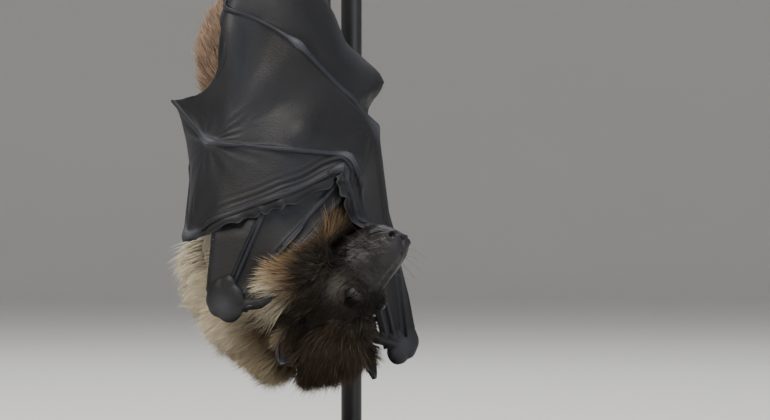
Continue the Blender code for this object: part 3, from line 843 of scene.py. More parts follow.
@dataclass
class Wing:
    """A folded wing: three fingers, the arm, and one skin stretched over them.

    Joints run from the knuckle by way of the middle joint to the tip.
    """

    side: str
    elbow: Point
    flank: tuple[Point, ...]
    third: tuple[Point, ...]
    fourth: tuple[Point, ...]
    fifth: tuple[Point, ...]
    rows: tuple[int, int, int] = (86, 62, 50)
    columns: tuple[int, int, int] = (40, 50, 86)
    turn: float = 0.0
    drop: float = 1.2
    thumb_sink: float = 8.5
    scallops: Point = (0.13, 0.14, 0.12)
    skin: float = 0.42
    taut_to: float = 90.0
    bone: float = 1.2
    knuckle: float = 0.6
    arm_radius: float = 3.2
    forearm_radius: float = 3.6
    clearance: float = 0.55
    evening: int = 3
    settling: int = 90
    root_reach: float = 3.0
    root_spacing: float = 3.9
    root_shift: float = -2.4
    arm_shift: float = 6.4
    lines: dict[str, Array] = field(default_factory=dict)
    across: Optional[Array] = None
    outwards: Optional[Array] = None
    towards: Optional[Array] = None

    def lifted(self, line: Array, radius: float, envelope: Envelope, rounds: int = 8) -> Array:
        """Move a bone's line outwards until the bone lies on what is beneath it.

        Args:
            line: N by 3 centres.
            radius: the bone's radius.
            envelope: what lies beneath.
            rounds: rounds of evening out.

        Returns:
            The moved line.
        """
        at = AXIS.to_round(line)
        reach = np.maximum(at[:, 1], envelope.at(at[:, 0], at[:, 2]) + radius + 0.35)
        for _ in range(rounds):
            padded = np.pad(reach, 1, mode="edge")
            reach = np.maximum(reach, (padded[:-2] + padded[1:-1] + padded[2:]) / 3)
        at[:, 1] = reach
        return AXIS.from_round(at)

    def run_bones(self, envelope: Envelope) -> None:
        """Work out the centre line of each finger and of the arm, one point for each row.

        Args:
            envelope: what lies beneath the wing.
        """
        wrist = cad_centre(f"wrist_{self.side}")
        turned = AXIS.to_round(wrist)
        facing = turned[0] + self.turn
        self.outwards = np.array([math.sin(facing), -math.cos(facing), 0.0])
        fingers = {"third": self.third, "fourth": self.fourth, "fifth": self.fifth}
        knuckles = np.mean([joints[0] for joints in fingers.values()], axis=0)
        self.towards = unit(knuckles - wrist)
        across = unit(np.cross(self.towards, self.outwards))
        spread = np.subtract(self.fifth[0], self.third[0])
        self.across = across if across @ spread > 0 else -across
        for rank, (name, joints) in enumerate(fingers.items()):
            root = wrist + self.root_reach * self.towards
            root = root + ((rank - 1) * self.root_spacing + self.root_shift) * self.across
            stops = np.array([root, *joints])
            parts = [np.linspace(a, b, n, endpoint=False) for a, b, n in zip(stops, stops[1:], self.rows)]
            line = np.vstack([*parts, stops[-1:]])
            self.lines[name] = self.lifted(line, self.bone, envelope)
        forearm_way = unit(np.subtract(self.elbow, wrist))
        start = wrist + self.root_reach * forearm_way + self.arm_shift * self.across
        stops = np.array([start, self.elbow, *self.flank])
        share = lengths_along(self.lines["fifth"])
        arm = along_line(stops, share / share[-1])
        self.lines["arm"] = self.lifted(arm, self.arm_radius, envelope)
        forearm = np.linspace(start, np.array(self.elbow), 60)
        self.lines["forearm"] = self.lifted(forearm, self.forearm_radius, envelope)

    def panel(self, first: str, second: str, columns: int, scallop: float, envelope: Envelope) -> Array:
        """Stretch one panel between two bones and let it rest on what is beneath.

        Args:
            first: the bone on the panel's near edge.
            second: the bone on its far edge.
            columns: points from edge to edge.
            scallop: how far the free edge is drawn in, as a share of the rows.
            envelope: what lies beneath.

        Returns:
            Rows by columns by 3 points.
        """
        count = sum(self.rows) + 1
        spaced, place = even(columns), even(count)
        share = spaced - 0.7 * np.sin(2 * math.pi * spaced) / (2 * math.pi)
        drawn = place[:, None] - scallop * 4 * (share * (1 - share))[None] * place[:, None] ** 5
        bones = (AXIS.to_round(self.lines[name]) for name in (first, second))
        near, far = (np.stack([np.interp(drawn, place, column) for column in at.T], -1) for at in bones)
        out = near + (far - near) * share[None, :, None]
        span = np.abs(far[..., 0] - near[..., 0])
        part = share[None] * span
        safe = np.clip(span, 1e-4, 2.9)
        under = near[..., 1] * np.sin(np.clip(part, 0, 2.9))
        under += far[..., 1] * np.sin(np.clip(safe - part, 0, 2.9))
        chord = near[..., 1] * far[..., 1] * np.sin(safe) / np.maximum(under, 1e-6)
        chord = np.where((span > 2.6) | (span < 1e-3), out[..., 1] * (span < 1e-3), chord)
        floor = envelope.at(out[..., 0], out[..., 2]) + self.clearance
        edge = np.exp(-np.minimum(share, 1 - share) / 0.02)[None]
        out[..., 1] = np.maximum(chord, np.minimum(floor, mix(floor, out[..., 1], edge)))
        points = AXIS.from_round(out)
        gaps = np.diff(share)
        left, right = 1 / gaps[:-1], 1 / gaps[1:]
        left, right = (left / (left + right))[None, :, None], (right / (left + right))[None, :, None]
        for _ in range(self.settling):
            inner = points[1:-1, 1:-1]
            beside = left * points[1:-1, :-2] + right * points[1:-1, 2:]
            ahead = (points[:-2, 1:-1] + points[2:, 1:-1]) / 2
            points[1:-1, 1:-1] = 0.2 * inner + 0.55 * beside + 0.25 * ahead
            at = AXIS.to_round(points)
            floor = envelope.at(at[..., 0], at[..., 2]) + self.clearance
            at[..., 1] = np.where(edge > 0.6, at[..., 1], np.maximum(at[..., 1], floor))
            points[1:-1, 1:-1] = AXIS.from_round(at)[1:-1, 1:-1]
        return points

    def tautness(self, grid: Array) -> Array:
        """Height that draws the skin flush with the outer side of forearm and fifth metacarpal.

        Args:
            grid: rows by columns by 3 points of the skin.

        Returns:
            A height for each point.
        """
        lift = np.zeros(grid.shape[:2])
        last = self.columns[2]
        share = even(last)[None]
        low = ease(self.taut_to + 14, self.taut_to, grid[:, -last:, 2])
        flush = mix(1.3, 2.7, share) * ease(0.0, 0.10, share)
        lift[:, -last:] = low * flush * (np.arange(len(grid)) < self.rows[0])[:, None]
        return lift

    def creases(self, points: Array) -> Array:
        """Height of the fine folds in the skin, in millimetres, at N places.

        Args:
            points: N by 3 places on the skin.

        Returns:
            N heights.
        """
        height = 0.16 * noise(points, 9.0, 3) + 0.04 * noise(points, 2.6, 4)
        for name, stop, seed, reach in (("fourth", 1, 5, 30.0), ("fifth", 0, 6, 20.0), ("third", 1, 7, 24.0)):
            joint = self.lines[name][sum(self.rows[: stop + 1])]
            away = points - joint
            far = length_of(away)
            way = unit(away)
            rays = np.abs(noise(way * 10, 1.9, seed))
            fade = ease(1.5, 7, far) * ease(reach, 6, far)
            height += 0.95 * fade * (np.maximum(0, 0.55 - rays) - 0.15)
        far, place = near_line(points, self.lines["third"][self.rows[0] - 4 : sum(self.rows[:2])])
        strands = 0.5 * np.cos(far * 2 * math.pi / 2.3 + 2 * noise(points, 12.0, 8))
        fade = ease(9.5, 3.0, far) * ease(1.4, 2.2, far) * ease(1.02, 0.5, place)
        height += 0.75 * strands * fade
        return height

    def stretched(self, envelope: Envelope) -> Shape:
        """The whole wing skin: two faces with the fingers standing out as ridges.

        Args:
            envelope: what lies beneath the wing.

        Returns:
            The closed shape with its colours.
        """
        panels = [
            self.panel("third", "fourth", self.columns[0], self.scallops[0], envelope),
            self.panel("fourth", "fifth", self.columns[1], self.scallops[1], envelope),
            self.panel("fifth", "arm", self.columns[2], self.scallops[2], envelope),
        ]
        lead = unit(panels[0][:, 0] - panels[0][:, 4])
        beyond = [panels[0][:, 0] + lead * d for d in (1.9, 1.5, 1.0, 0.5)]
        grid = np.concatenate([np.stack(beyond, 1), panels[0], panels[1][:, 1:], panels[2][:, 1:]], 1)
        normals = grid_normals(grid)
        radial = unit((grid - [AXIS.x, AXIS.y, 0]) * [1, 1, 0])
        normals *= np.sign(np.sum(normals * radial))
        flat, facing = grid.reshape(-1, 3), normals.reshape(-1, 3)
        ridge = np.zeros(len(flat))
        knuckle_highlight = np.zeros(len(flat))
        for name in ("third", "fourth", "fifth"):
            far, place = near_line(flat, self.lines[name])
            stops = lengths_along(self.lines[name])
            stops = stops[[self.rows[0], sum(self.rows[:2])]] / stops[-1]
            swell = sum(hump(place, s, 0.022) for s in stops)
            radius = self.bone * (1 - 0.45 * place ** 2) + self.knuckle * swell
            risen = radius / (1 + (far / (0.85 * radius)) ** 4)
            ridge = np.maximum(ridge, risen)
            # Nearness of each knuckle, which takes a painted highlight.
            knuckle_highlight = np.maximum(knuckle_highlight, swell * hump(far, 0, 2.2))
        fold = self.creases(flat) * ease(1.2, 0.2, ridge)
        fold += self.tautness(grid).ravel()
        centre = flat + facing * fold[:, None]
        outer = centre + facing * (self.skin / 2 + ridge)[:, None]
        inner = centre - facing * (self.skin / 2 + 0.75 * ridge)[:, None]
        tint = self.tones(flat, ridge, knuckle_highlight, fold)
        return closed_sheet(outer.reshape(grid.shape), inner.reshape(grid.shape), tint, 0.8)

    def tones(self, points: Array, ridge: Array, knuckle_highlight: Array, fold: Array) -> Array:
        """Colour of the wing skin: charcoal in soft blotches, with painted highlights paler and bluer along
        the bones and at the knuckles, painted shade darkest in the folds, and darker towards the bottom.

        Args:
            points: N by 3 places on the skin.
            ridge: height of the bones there.
            knuckle_highlight: nearness of a finger's joint.
            fold: height of the folds.

        Returns:
            N by 3 linear colours.
        """
        blot = noise(points, 22.0, 11)
        # Painted highlights: paler and bluer along the bones and at the knuckles. Painted shade: darkest
        # where the skin folds in.
        colour = layered(
            linear("1B1C20"), ("131417", ease(0.0, 0.8, blot)), ("252830", ease(0.0, -0.8, blot) * 0.8),
            ("343943", ease(0.25, 1.1, ridge) * 0.6), ("696D78", np.clip(knuckle_highlight, 0, 1) * 0.35),
            ("101013", ease(-0.12, -0.5, fold) * 0.8))
        return colour * mix(0.52, 0.86, ease(60, 150, points[:, 2]))[:, None]


@dataclass
class ArmSkin:
    """The furless skin of the forearm, wrist, thumb and finger roots, fused into one."""

    wing: Wing
    thumb_line: Optional[Array] = None

    def shape(self) -> Shape:
        """Fuse the forearm, the carpal lumps, the finger roots and the thumb.

        Returns:
            The closed shape with its colours.
        """
        wing = self.wing
        wrist = cad_centre(f"wrist_{wing.side}")
        share = even(60)
        radii = 2.5 + 1.5 * np.sin(math.pi * np.clip(share * 0.66, 0, 1)) ** 2
        radii *= mix(0.35, 1.0, ease(1.0, 0.82, share))
        whole = tube(wing.lines["forearm"], radii, 16)
        axes = np.array([wing.across, wing.towards, wing.outwards])
        axes[1] = unit(np.cross(axes[2], axes[0]))
        axes[1] *= np.sign(axes[1] @ wing.towards)
        # Each lump's place across, ahead of and out from the wrist, then its half sizes.
        lumps = (
            (-1.5, 2.0, 0.0, 6.0, 5.6, 2.7),
            (2.6, 2.2, 0.2, 5.4, 6.0, 2.7),
            (5.6, 4.4, 0.2, 3.6, 6.6, 3.0),
            (-1.5, 5.5, 0.2, 4.8, 6.0, 2.4),
            (3.0, 6.5, 0.2, 4.4, 7.0, 2.4),
        )
        for across, ahead, out, *size in lumps:
            middle = wrist + across * axes[0] + (ahead - wing.drop) * axes[1] + out * axes[2]
            whole = whole.joined(ball(middle, size, axes, 10))
        for name in ("third", "fourth", "fifth"):
            line = wing.lines[name][:34]
            whole = whole.joined(tube(line, np.linspace(1.7, 1.0, len(line)), 10))
        thumb = cad_shape(f"thumb_{wing.side}").points
        start, end = self.thumb_ends(thumb, wrist)
        end = end - wing.thumb_sink * wing.outwards
        share = even(12)[:, None]
        self.thumb_line = start + (end - start) * share
        swell = 1.7 + 0.35 * hump(share[:, 0], 0.45, 0.12) + 0.2 * (1 - share[:, 0])
        whole = whole.joined(tube(self.thumb_line, swell, 12))
        whole = whole.joined(tube(np.linspace(wrist, start, 6), np.full(6, 2.3), 10))
        skin = remeshed(whole, 0.55, 4)
        skin.points += point_normals(skin) * (0.10 * noise(skin.points, 1.8, 21) - 0.12)[:, None]
        blot = ease(-0.4, 0.9, noise(skin.points, 9.0, 22))
        # Painted highlight: paler and bluer on the outer side of the wrist.
        wrist_highlight = hump(length_of(skin.points - (wrist + 3.4 * wing.outwards)), 0, 4.5)
        skin.tint = 0.62 * layered(linear("17181B"), ("26282D", blot), ("5A5F69", 0.5 * wrist_highlight))
        return skin

    @staticmethod
    def thumb_ends(points: Array, wrist: Array) -> tuple[Array, Array]:
        """The two ends of the thumb's solid, the one by the wrist first.

        Args:
            points: the solid's points.
            wrist: middle of the wrist.

        Returns:
            Both ends.
        """
        middle = points.mean(0)
        way = np.linalg.svd(points - middle)[2][0]
        reach = (points - middle) @ way
        ends = [middle + way * reach.min() * 0.92, middle + way * reach.max() * 0.92]
        return tuple(sorted(ends, key=lambda p: np.linalg.norm(p - wrist)))


# ---- head


@dataclass
class Face:
    """The skin of the head, lofted along the snout, with lids, lips, nostrils and folds.

    Each section gives the place along the snout, half the width, and how far it reaches
    towards the crown and towards the throat.
    """

    rows: int = 205
    sides: int = 200
    sections: tuple[tuple[float, float, float, float], ...] = (
        (-25.0, 2.0, 2.0, 2.0),
        (-22.0, 8.5, 8.0, 7.0),
        (-15.0, 13.0, 12.5, 12.0),
        (-5.0, 14.8, 14.6, 14.0),
        (6.0, 14.0, 13.4, 14.6),
        (13.0, 12.5, 11.6, 16.0),
        (18.0, 11.4, 9.8, 17.2),
        (23.0, 10.2, 7.9, 18.0),
        (28.0, 9.2, 6.0, 17.8),
        (33.0, 8.2, 4.4, 16.6),
        (37.0, 7.3, 3.0, 14.6),
        (40.0, 6.4, 1.6, 12.2),
        (41.9, 5.0, -0.2, 9.6),
        (43.0, 3.0, -2.0, 7.6),
        (43.5, 0.5, -3.8, 5.4),
    )
    eye: Point = (18.8, 7.2, 5.8)
    eye_radius: float = 3.7

    def shape(self) -> Shape:
        """Loft the head and press its features into it.

        Returns:
            The closed shape with its colours.
        """
        table = np.array(self.sections)
        share = even(self.rows)
        along = mix(table[0, 0], table[-1, 0], share + 0.10 * np.sin(math.pi * share))
        along = np.clip(along, table[0, 0], table[-1, 0])
        width, crown, throat = (self.smooth_read(table[:, 0], table[:, k], along) for k in (1, 2, 3))
        turn = full_turn(self.sides)
        middle = (crown - throat) / 2
        depth = (crown + throat) / 2
        box = 0.86
        side = width[:, None] * np.sign(np.cos(turn)) * np.abs(np.cos(turn)) ** box
        up = middle[:, None] + depth[:, None] * np.sign(np.sin(turn)) * np.abs(np.sin(turn)) ** box
        grid = np.stack([np.repeat(along[:, None], self.sides, 1), side, up], -1)
        local = grid.reshape(-1, 3)
        local = self.featured(local)
        ends = np.array([[table[0, 0] - 0.3, 0, 0], [table[-1, 0] + 0.2, 0, middle[-1]]])
        rings = HEAD.place(*local.T).reshape(grid.shape)
        result = lofted(rings, HEAD.place(*ends.T))
        result.tint = self.tones(np.vstack([local, ends]), result.points)
        return result

    @staticmethod
    def smooth_read(places: Array, values: Array, at: Array) -> Array:
        """Read a table between its rows with a smooth curve that keeps within its steps.

        Args:
            places: where the table's rows are.
            values: a value for each row.
            at: the places to read.

        Returns:
            A value for each place.
        """
        slopes = np.gradient(values, places)
        index = np.clip(np.searchsorted(places, at, side="right") - 1, 0, len(places) - 2)
        gap = places[index + 1] - places[index]
        t = (at - places[index]) / gap
        start, end = values[index], values[index + 1]
        return (
            start * (1 + 2 * t) * (1 - t) ** 2 + end * t * t * (3 - 2 * t)
            + gap * slopes[index] * t * (1 - t) ** 2 - gap * slopes[index + 1] * t * t * (1 - t)
        )

    @staticmethod
    def bump(local: Array, centre: Sequence[float], sizes: Sequence[float]) -> Array:
        """A round swelling of height one about a place, of these half sizes."""
        return np.exp(-np.sum(((local - centre) / sizes) ** 2, axis=1))

    def featured(self, local: Array) -> Array:
        """Shape brow, cheek, lids, lips, jaw, nostrils and wrinkles.

        Args:
            local: N by 3 head measures on the plain loft.

        Returns:
            The moved points.
        """
        along, side, up = local.T.copy()
        out = unit(np.stack([along * 0, side, up + 3.5], 1))
        own = np.stack([along, np.abs(side), up], 1)
        push = np.zeros(len(local))
        push += 0.9 * self.bump(own, (11.0, 7.5, 10.5), (6, 5, 4.5))
        push += 1.1 * self.bump(own, (20.0, 9.5, -3.0), (8, 5, 5))
        push -= 1.0 * self.bump(own, (26.0, 6.5, 3.2), (5.5, 3.2, 3.0))
        push += 0.7 * self.bump(own, (35.5, 6.0, -6.4), (5, 3, 3))
        push -= 0.7 * self.bump(own, (30.0, 0.0, 5.6), (9, 1.6, 2.5))
        lip = self.lip_height(along)
        gap = up - lip
        front = ease(22.0, 25.5, along) * (np.abs(side) > 0.3)
        groove = hump(gap, 0, 0.65)
        push -= 2.0 * groove * front * ease(43.5, 41.5, along)
        push += 0.9 * hump(gap, 1.4, 0.9) * front
        push -= 0.3 * ease(0.0, -1.5, gap) * ease(24, 30, along)
        for shift, deep in ((1.9, 0.5), (3.4, 0.35), (-1.8, 0.4)):
            fold = np.exp(-(((gap - shift - 0.06 * (along - 25)) / 0.4) ** 2))
            push -= deep * fold * hump(along, 26.5, 4.5)
        corner = np.hypot((along - 23.6) / 1.6, gap / 1.3)
        push -= 1.1 * np.exp(-(corner ** 2))
        push += 0.9 * hump(np.hypot(along - 23.4, gap), 2.7, 0.8) * (np.abs(side) > 2)
        push += 0.5 * hump(along, 37.0, 3.0) * ease(-0.8, -2.4, gap)
        push += (0.24 * noise(local, 2.6, 31) + 0.12 * noise(local, 1.2, 32)) * ease(20, 30, along)
        return self.lidded(self.nosed(local + out * push[:, None]))

    @staticmethod
    def lip_height(along: Array) -> Array:
        """Height of the line of the mouth, towards the crown, along the snout."""
        places = (22.0, 25.4, 28.8, 32.7, 37.4, 40.9, 43.5)
        return np.interp(along, places, (-7.2, -8.2, -9.1, -9.5, -8.8, -7.7, -6.6))

    def nosed(self, local: Array) -> Array:
        """Draw out the two short tubes of the nostrils and the furrow between them.

        Args:
            local: N by 3 head measures.

        Returns:
            The moved points.
        """
        along, side, up = local.T
        hand = np.where(side >= 0, 1.0, -1.0)
        mirror = np.stack([np.ones(len(side)), hand, np.ones(len(side))], 1)
        lobe = self.bump(local, mirror * (41.4, 3.2, -4.4), (2.3, 2.0, 2.3))
        outward = unit(mirror * (0.62, 0.72, 0.05))
        moved = local + outward * (1.7 * lobe)[:, None]
        hole_at = mirror * (42.3, 4.5, -4.6)
        off = moved - hole_at
        off = off - np.sum(off * outward, 1, keepdims=True) * outward
        ring = length_of(off / (1.35, 1.35, 1.1))
        near = length_of(moved - hole_at) < 3.4
        hole = hump(ring, 0, 0.95, 4) * near
        rim = hump(ring, 1.55, 0.5) * near
        moved = moved - outward * (1.9 * hole)[:, None] + outward * (0.45 * rim)[:, None]
        furrow = hump(side, 0, 0.75) * ease(39.0, 42.0, along) * ease(-9.5, -7.0, up)
        moved[:, 0] -= 1.5 * furrow
        return moved

    def lidded(self, local: Array) -> Array:
        """Raise the lids round each eyeball and open a slit between them.

        Args:
            local: N by 3 head measures.

        Returns:
            The moved points.
        """
        moved = local.copy()
        for hand in (1, -1):
            centre = np.array([self.eye[0], hand * self.eye[1], self.eye[2]])
            gaze = unit(np.array([0.30, 0.74 * hand, 0.60]))
            slit = unit(np.array([0.93, -0.30 * hand, -0.10]))
            slit = unit(slit - (slit @ gaze) * gaze)
            over = np.cross(gaze, slit)
            away = moved - centre
            depth, x, y = away @ gaze, away @ slit, away @ over
            ring = np.hypot(x, y)
            front = depth > -3
            mound = hump(ring, 0, 5.2, 4) * front
            lid_radius = self.eye_radius + 0.5
            shell = np.sqrt(np.maximum(lid_radius ** 2 - np.minimum(ring, lid_radius) ** 2, 0))
            lift = np.clip(shell - depth, -1.5, 9.0) * mound
            moved += gaze * lift[:, None]
            lens = np.abs(y + 0.15) / np.maximum(0.62 * (1 - (x / 3.3) ** 2), 0.05)
            opening = ease(1.15, 0.85, lens) * (np.abs(x) < 3.3) * front
            rim = hump(lens, 1.35, 0.3) * (np.abs(x) < 4.2) * front
            moved -= gaze * (1.3 * opening)[:, None]
            moved += gaze * (0.22 * rim)[:, None]
            fold = hump(ring, 4.9, 0.6) * front
            moved -= gaze * (0.3 * fold)[:, None]
        return moved

    def tones(self, local: Array, points: Array) -> Array:
        """Colour of the head's skin: dark lilac-grey muzzle, black lids, black lips with painted shade along
        the mouth's groove, and painted shade in the nostril openings.

        Args:
            local: N by 3 head measures.
            points: the same places in the frame.

        Returns:
            N by 3 linear colours.
        """
        along, side, up = local.T
        under = MARKS.at(points, HEAD) * 0.5
        muzzle = layered(linear("131214"), ("232125", ease(-0.4, 0.9, noise(points, 4.0, 33))))
        # Black lips, with painted shade along the groove of the mouth.
        lips = hump(up - self.lip_height(along), 0, 0.7) * ease(22, 26, along)
        own = np.stack([along, np.abs(side), up], 1)
        nose = self.bump(own, (42.0, 3.5, -4.0), (3.0, 3.5, 4.0))
        # Painted shade in the nostril openings.
        hole = self.bump(own, (42.5, 4.9, -4.6), (1.6, 1.6, 1.4))
        return layered(
            mix(under, muzzle, ease(19, 27, along)[:, None]),
            ("1D1B1D", 0.5 * ease(0.0, 5.0, up) * ease(26, 34, along)), ("080708", 0.95 * lips),
            ("2F2D34", 0.6 * nose), ("0A0909", np.clip(1.3 * hole, 0, 1)),
            ("151111", 0.8 * self.bump(own, self.eye, (6.5, 5.5, 5.5))))


@dataclass
class Ear:
    """A short rounded ear, cupped towards the snout, dark with a painted highlight along its rim."""

    side: str
    root: Point
    tip: Point
    width: float = 11.5
    cup: float = 2.8
    rows: int = 46
    columns: int = 40

    def shape(self) -> Shape:
        """Loft the leaf, give it a thin wall, and fold its outer edge.

        Returns:
            The closed shape with its colours.
        """
        hand = hand_of(self.side)
        root = HEAD.place(self.root[0], hand * self.root[1], self.root[2])
        tip = HEAD.place(self.tip[0], hand * self.tip[1], self.tip[2])
        rise = unit(tip - root)
        start = root - rise * 4.0
        length = np.linalg.norm(tip - start)
        snout = HEAD.matrix()[0]
        facing = unit(snout - (snout @ rise) * rise)
        across = np.cross(rise, facing)
        share = even(self.rows)[:, None]
        where = np.linspace(-1, 1, self.columns)[None]
        half = self.width / 2 * (0.22 + 0.80 * np.sin(math.pi * (0.10 + 0.86 * share)) ** 0.7)
        half = half * np.sqrt(np.clip(1 - np.clip((share - 0.72) / 0.285, 0, 1) ** 2, 0.0, 1))
        hollow = self.cup * np.abs(where) ** 2.2 * (1 - 0.45 * share)
        roll = 0.7 * hump(np.abs(where), 1, 0.12) * share
        ribs = 0.16 * np.cos(where * 9) * share * (1 - share) * 4
        middle = (
            start + rise * (length * share)[..., None]
            + across * (half * where)[..., None] + facing * (hollow - roll + ribs)[..., None]
        )
        wall = grid_normals(middle) * (0.45 + 0.25 * (1 - share) + 0 * where)[..., None]
        # Painted highlight: paler along the rim and over the tip.
        edge = np.maximum(ease(0.82, 1.0, np.abs(where)), ease(0.90, 1.0, share))
        tint = layered(linear("171314"), ("5A565E", (0.8 * edge * (share > 0.3)).ravel()))
        return closed_sheet(middle + wall, middle - wall, tint, crosswise=True)


@dataclass
class Eyeball:
    """A large dark eye with a brown iris and a wide pupil."""

    side: str
    radius: float = 3.7

    def shape(self) -> Shape:
        """A fine ball coloured by its angle from the line of sight.

        Returns:
            The closed shape with its colours.
        """
        hand = hand_of(self.side)
        centre = HEAD.place(FACE.eye[0], hand * FACE.eye[1], FACE.eye[2])
        gaze = unit(HEAD.place(0.30, 0.74 * hand, 0.60) - HEAD.place(0, 0, 0))
        result = ball(centre, (self.radius,) * 3, None, 30)
        angle = np.arccos(np.clip(unit(result.points - centre) @ gaze, -1, 1))
        result.points += gaze * (0.35 * hump(angle, 0, 0.5))[:, None]
        iris = mix(linear("3A2010"), linear("1A0E08"), ease(0.45, 0.75, angle)[:, None])
        result.tint = mix(linear("040303"), iris, ease(0.30, 0.36, angle)[:, None])
        return result


FACE = Face()
EARS = (Ear("left", (-5, 15, 8), (-15, 20.5, 17)), Ear("right", (2, 14, 10), (-2, 20, 24)))


# ---- body and coat


@dataclass
class Body:
    """The skin of head, neck, trunk and legs, sunk below the coat by the coat's own depth."""

    voxel: float = 1.4

    def coat_surface(self) -> Shape:
        """The coat's outer surface, as the CAD solids give it."""
        return remeshed(cad_shape("head", "neck", "trunk", "leg_left", "leg_right"), self.voxel, 6)

    @staticmethod
    def coat_depth(points: Array) -> Array:
        """Depth of the coat at places on its outer surface.

        Args:
            points: N by 3 places on the coat.

        Returns:
            N depths in millimetres.
        """
        along, side, up = HEAD.local(points).T
        height = points[:, 2]
        far = np.hypot(side, np.minimum(0, up + 2))
        jaw = ease(17, 22, far) * ease(-10, 0, along) * ease(3, -3, up) * (np.abs(side) > 4)
        nape = hump(along, -21, 7) * ease(0, 9, up) * ease(62, 50, height) * ease(17, 11, np.abs(side))
        depth = np.full(len(points), 8.5)
        for level, share in (
                (5.0, ease(105, 125, height)), (2.6, ease(188, 205, height)), (1.0, ease(215, 250, height)),
                (8.0, ease(-12, -4, up) * ease(-28, -20, along)),
                (4.5, ease(16, 24, along) * ease(-14, -8, up)),
                (2.4, jaw * ease(105, 95, height)), (3.5, nape)):
            depth = mix(depth, level, share)
        return depth + 4.5 * ease(-25, -31, along) * ease(60, 44, height)

    def shape(self) -> Shape:
        """The sunk skin with its colours.

        Returns:
            The closed shape with its colours.
        """
        skin = self.coat_surface()
        skin.points = skin.points - point_normals(skin) * self.coat_depth(skin.points)[:, None]
        skin = remeshed(skin, self.voxel, 8)
        skin.tint = MARKS.at(skin.points, HEAD) * 0.55
        return skin


class Lie(Enum):
    """How the hair of a stretch of coat lies."""

    FACE = "very short and flat, back from the nose"
    HEAD = "short, back over the crown"
    RUFF = "long, standing up beside the jaw"
    EAR = "short, over the base of the ear"
    MANTLE = "long, loose and fluffy"
    TRUNK = "dense, towards the rump"
    LEG = "short, towards the foot"


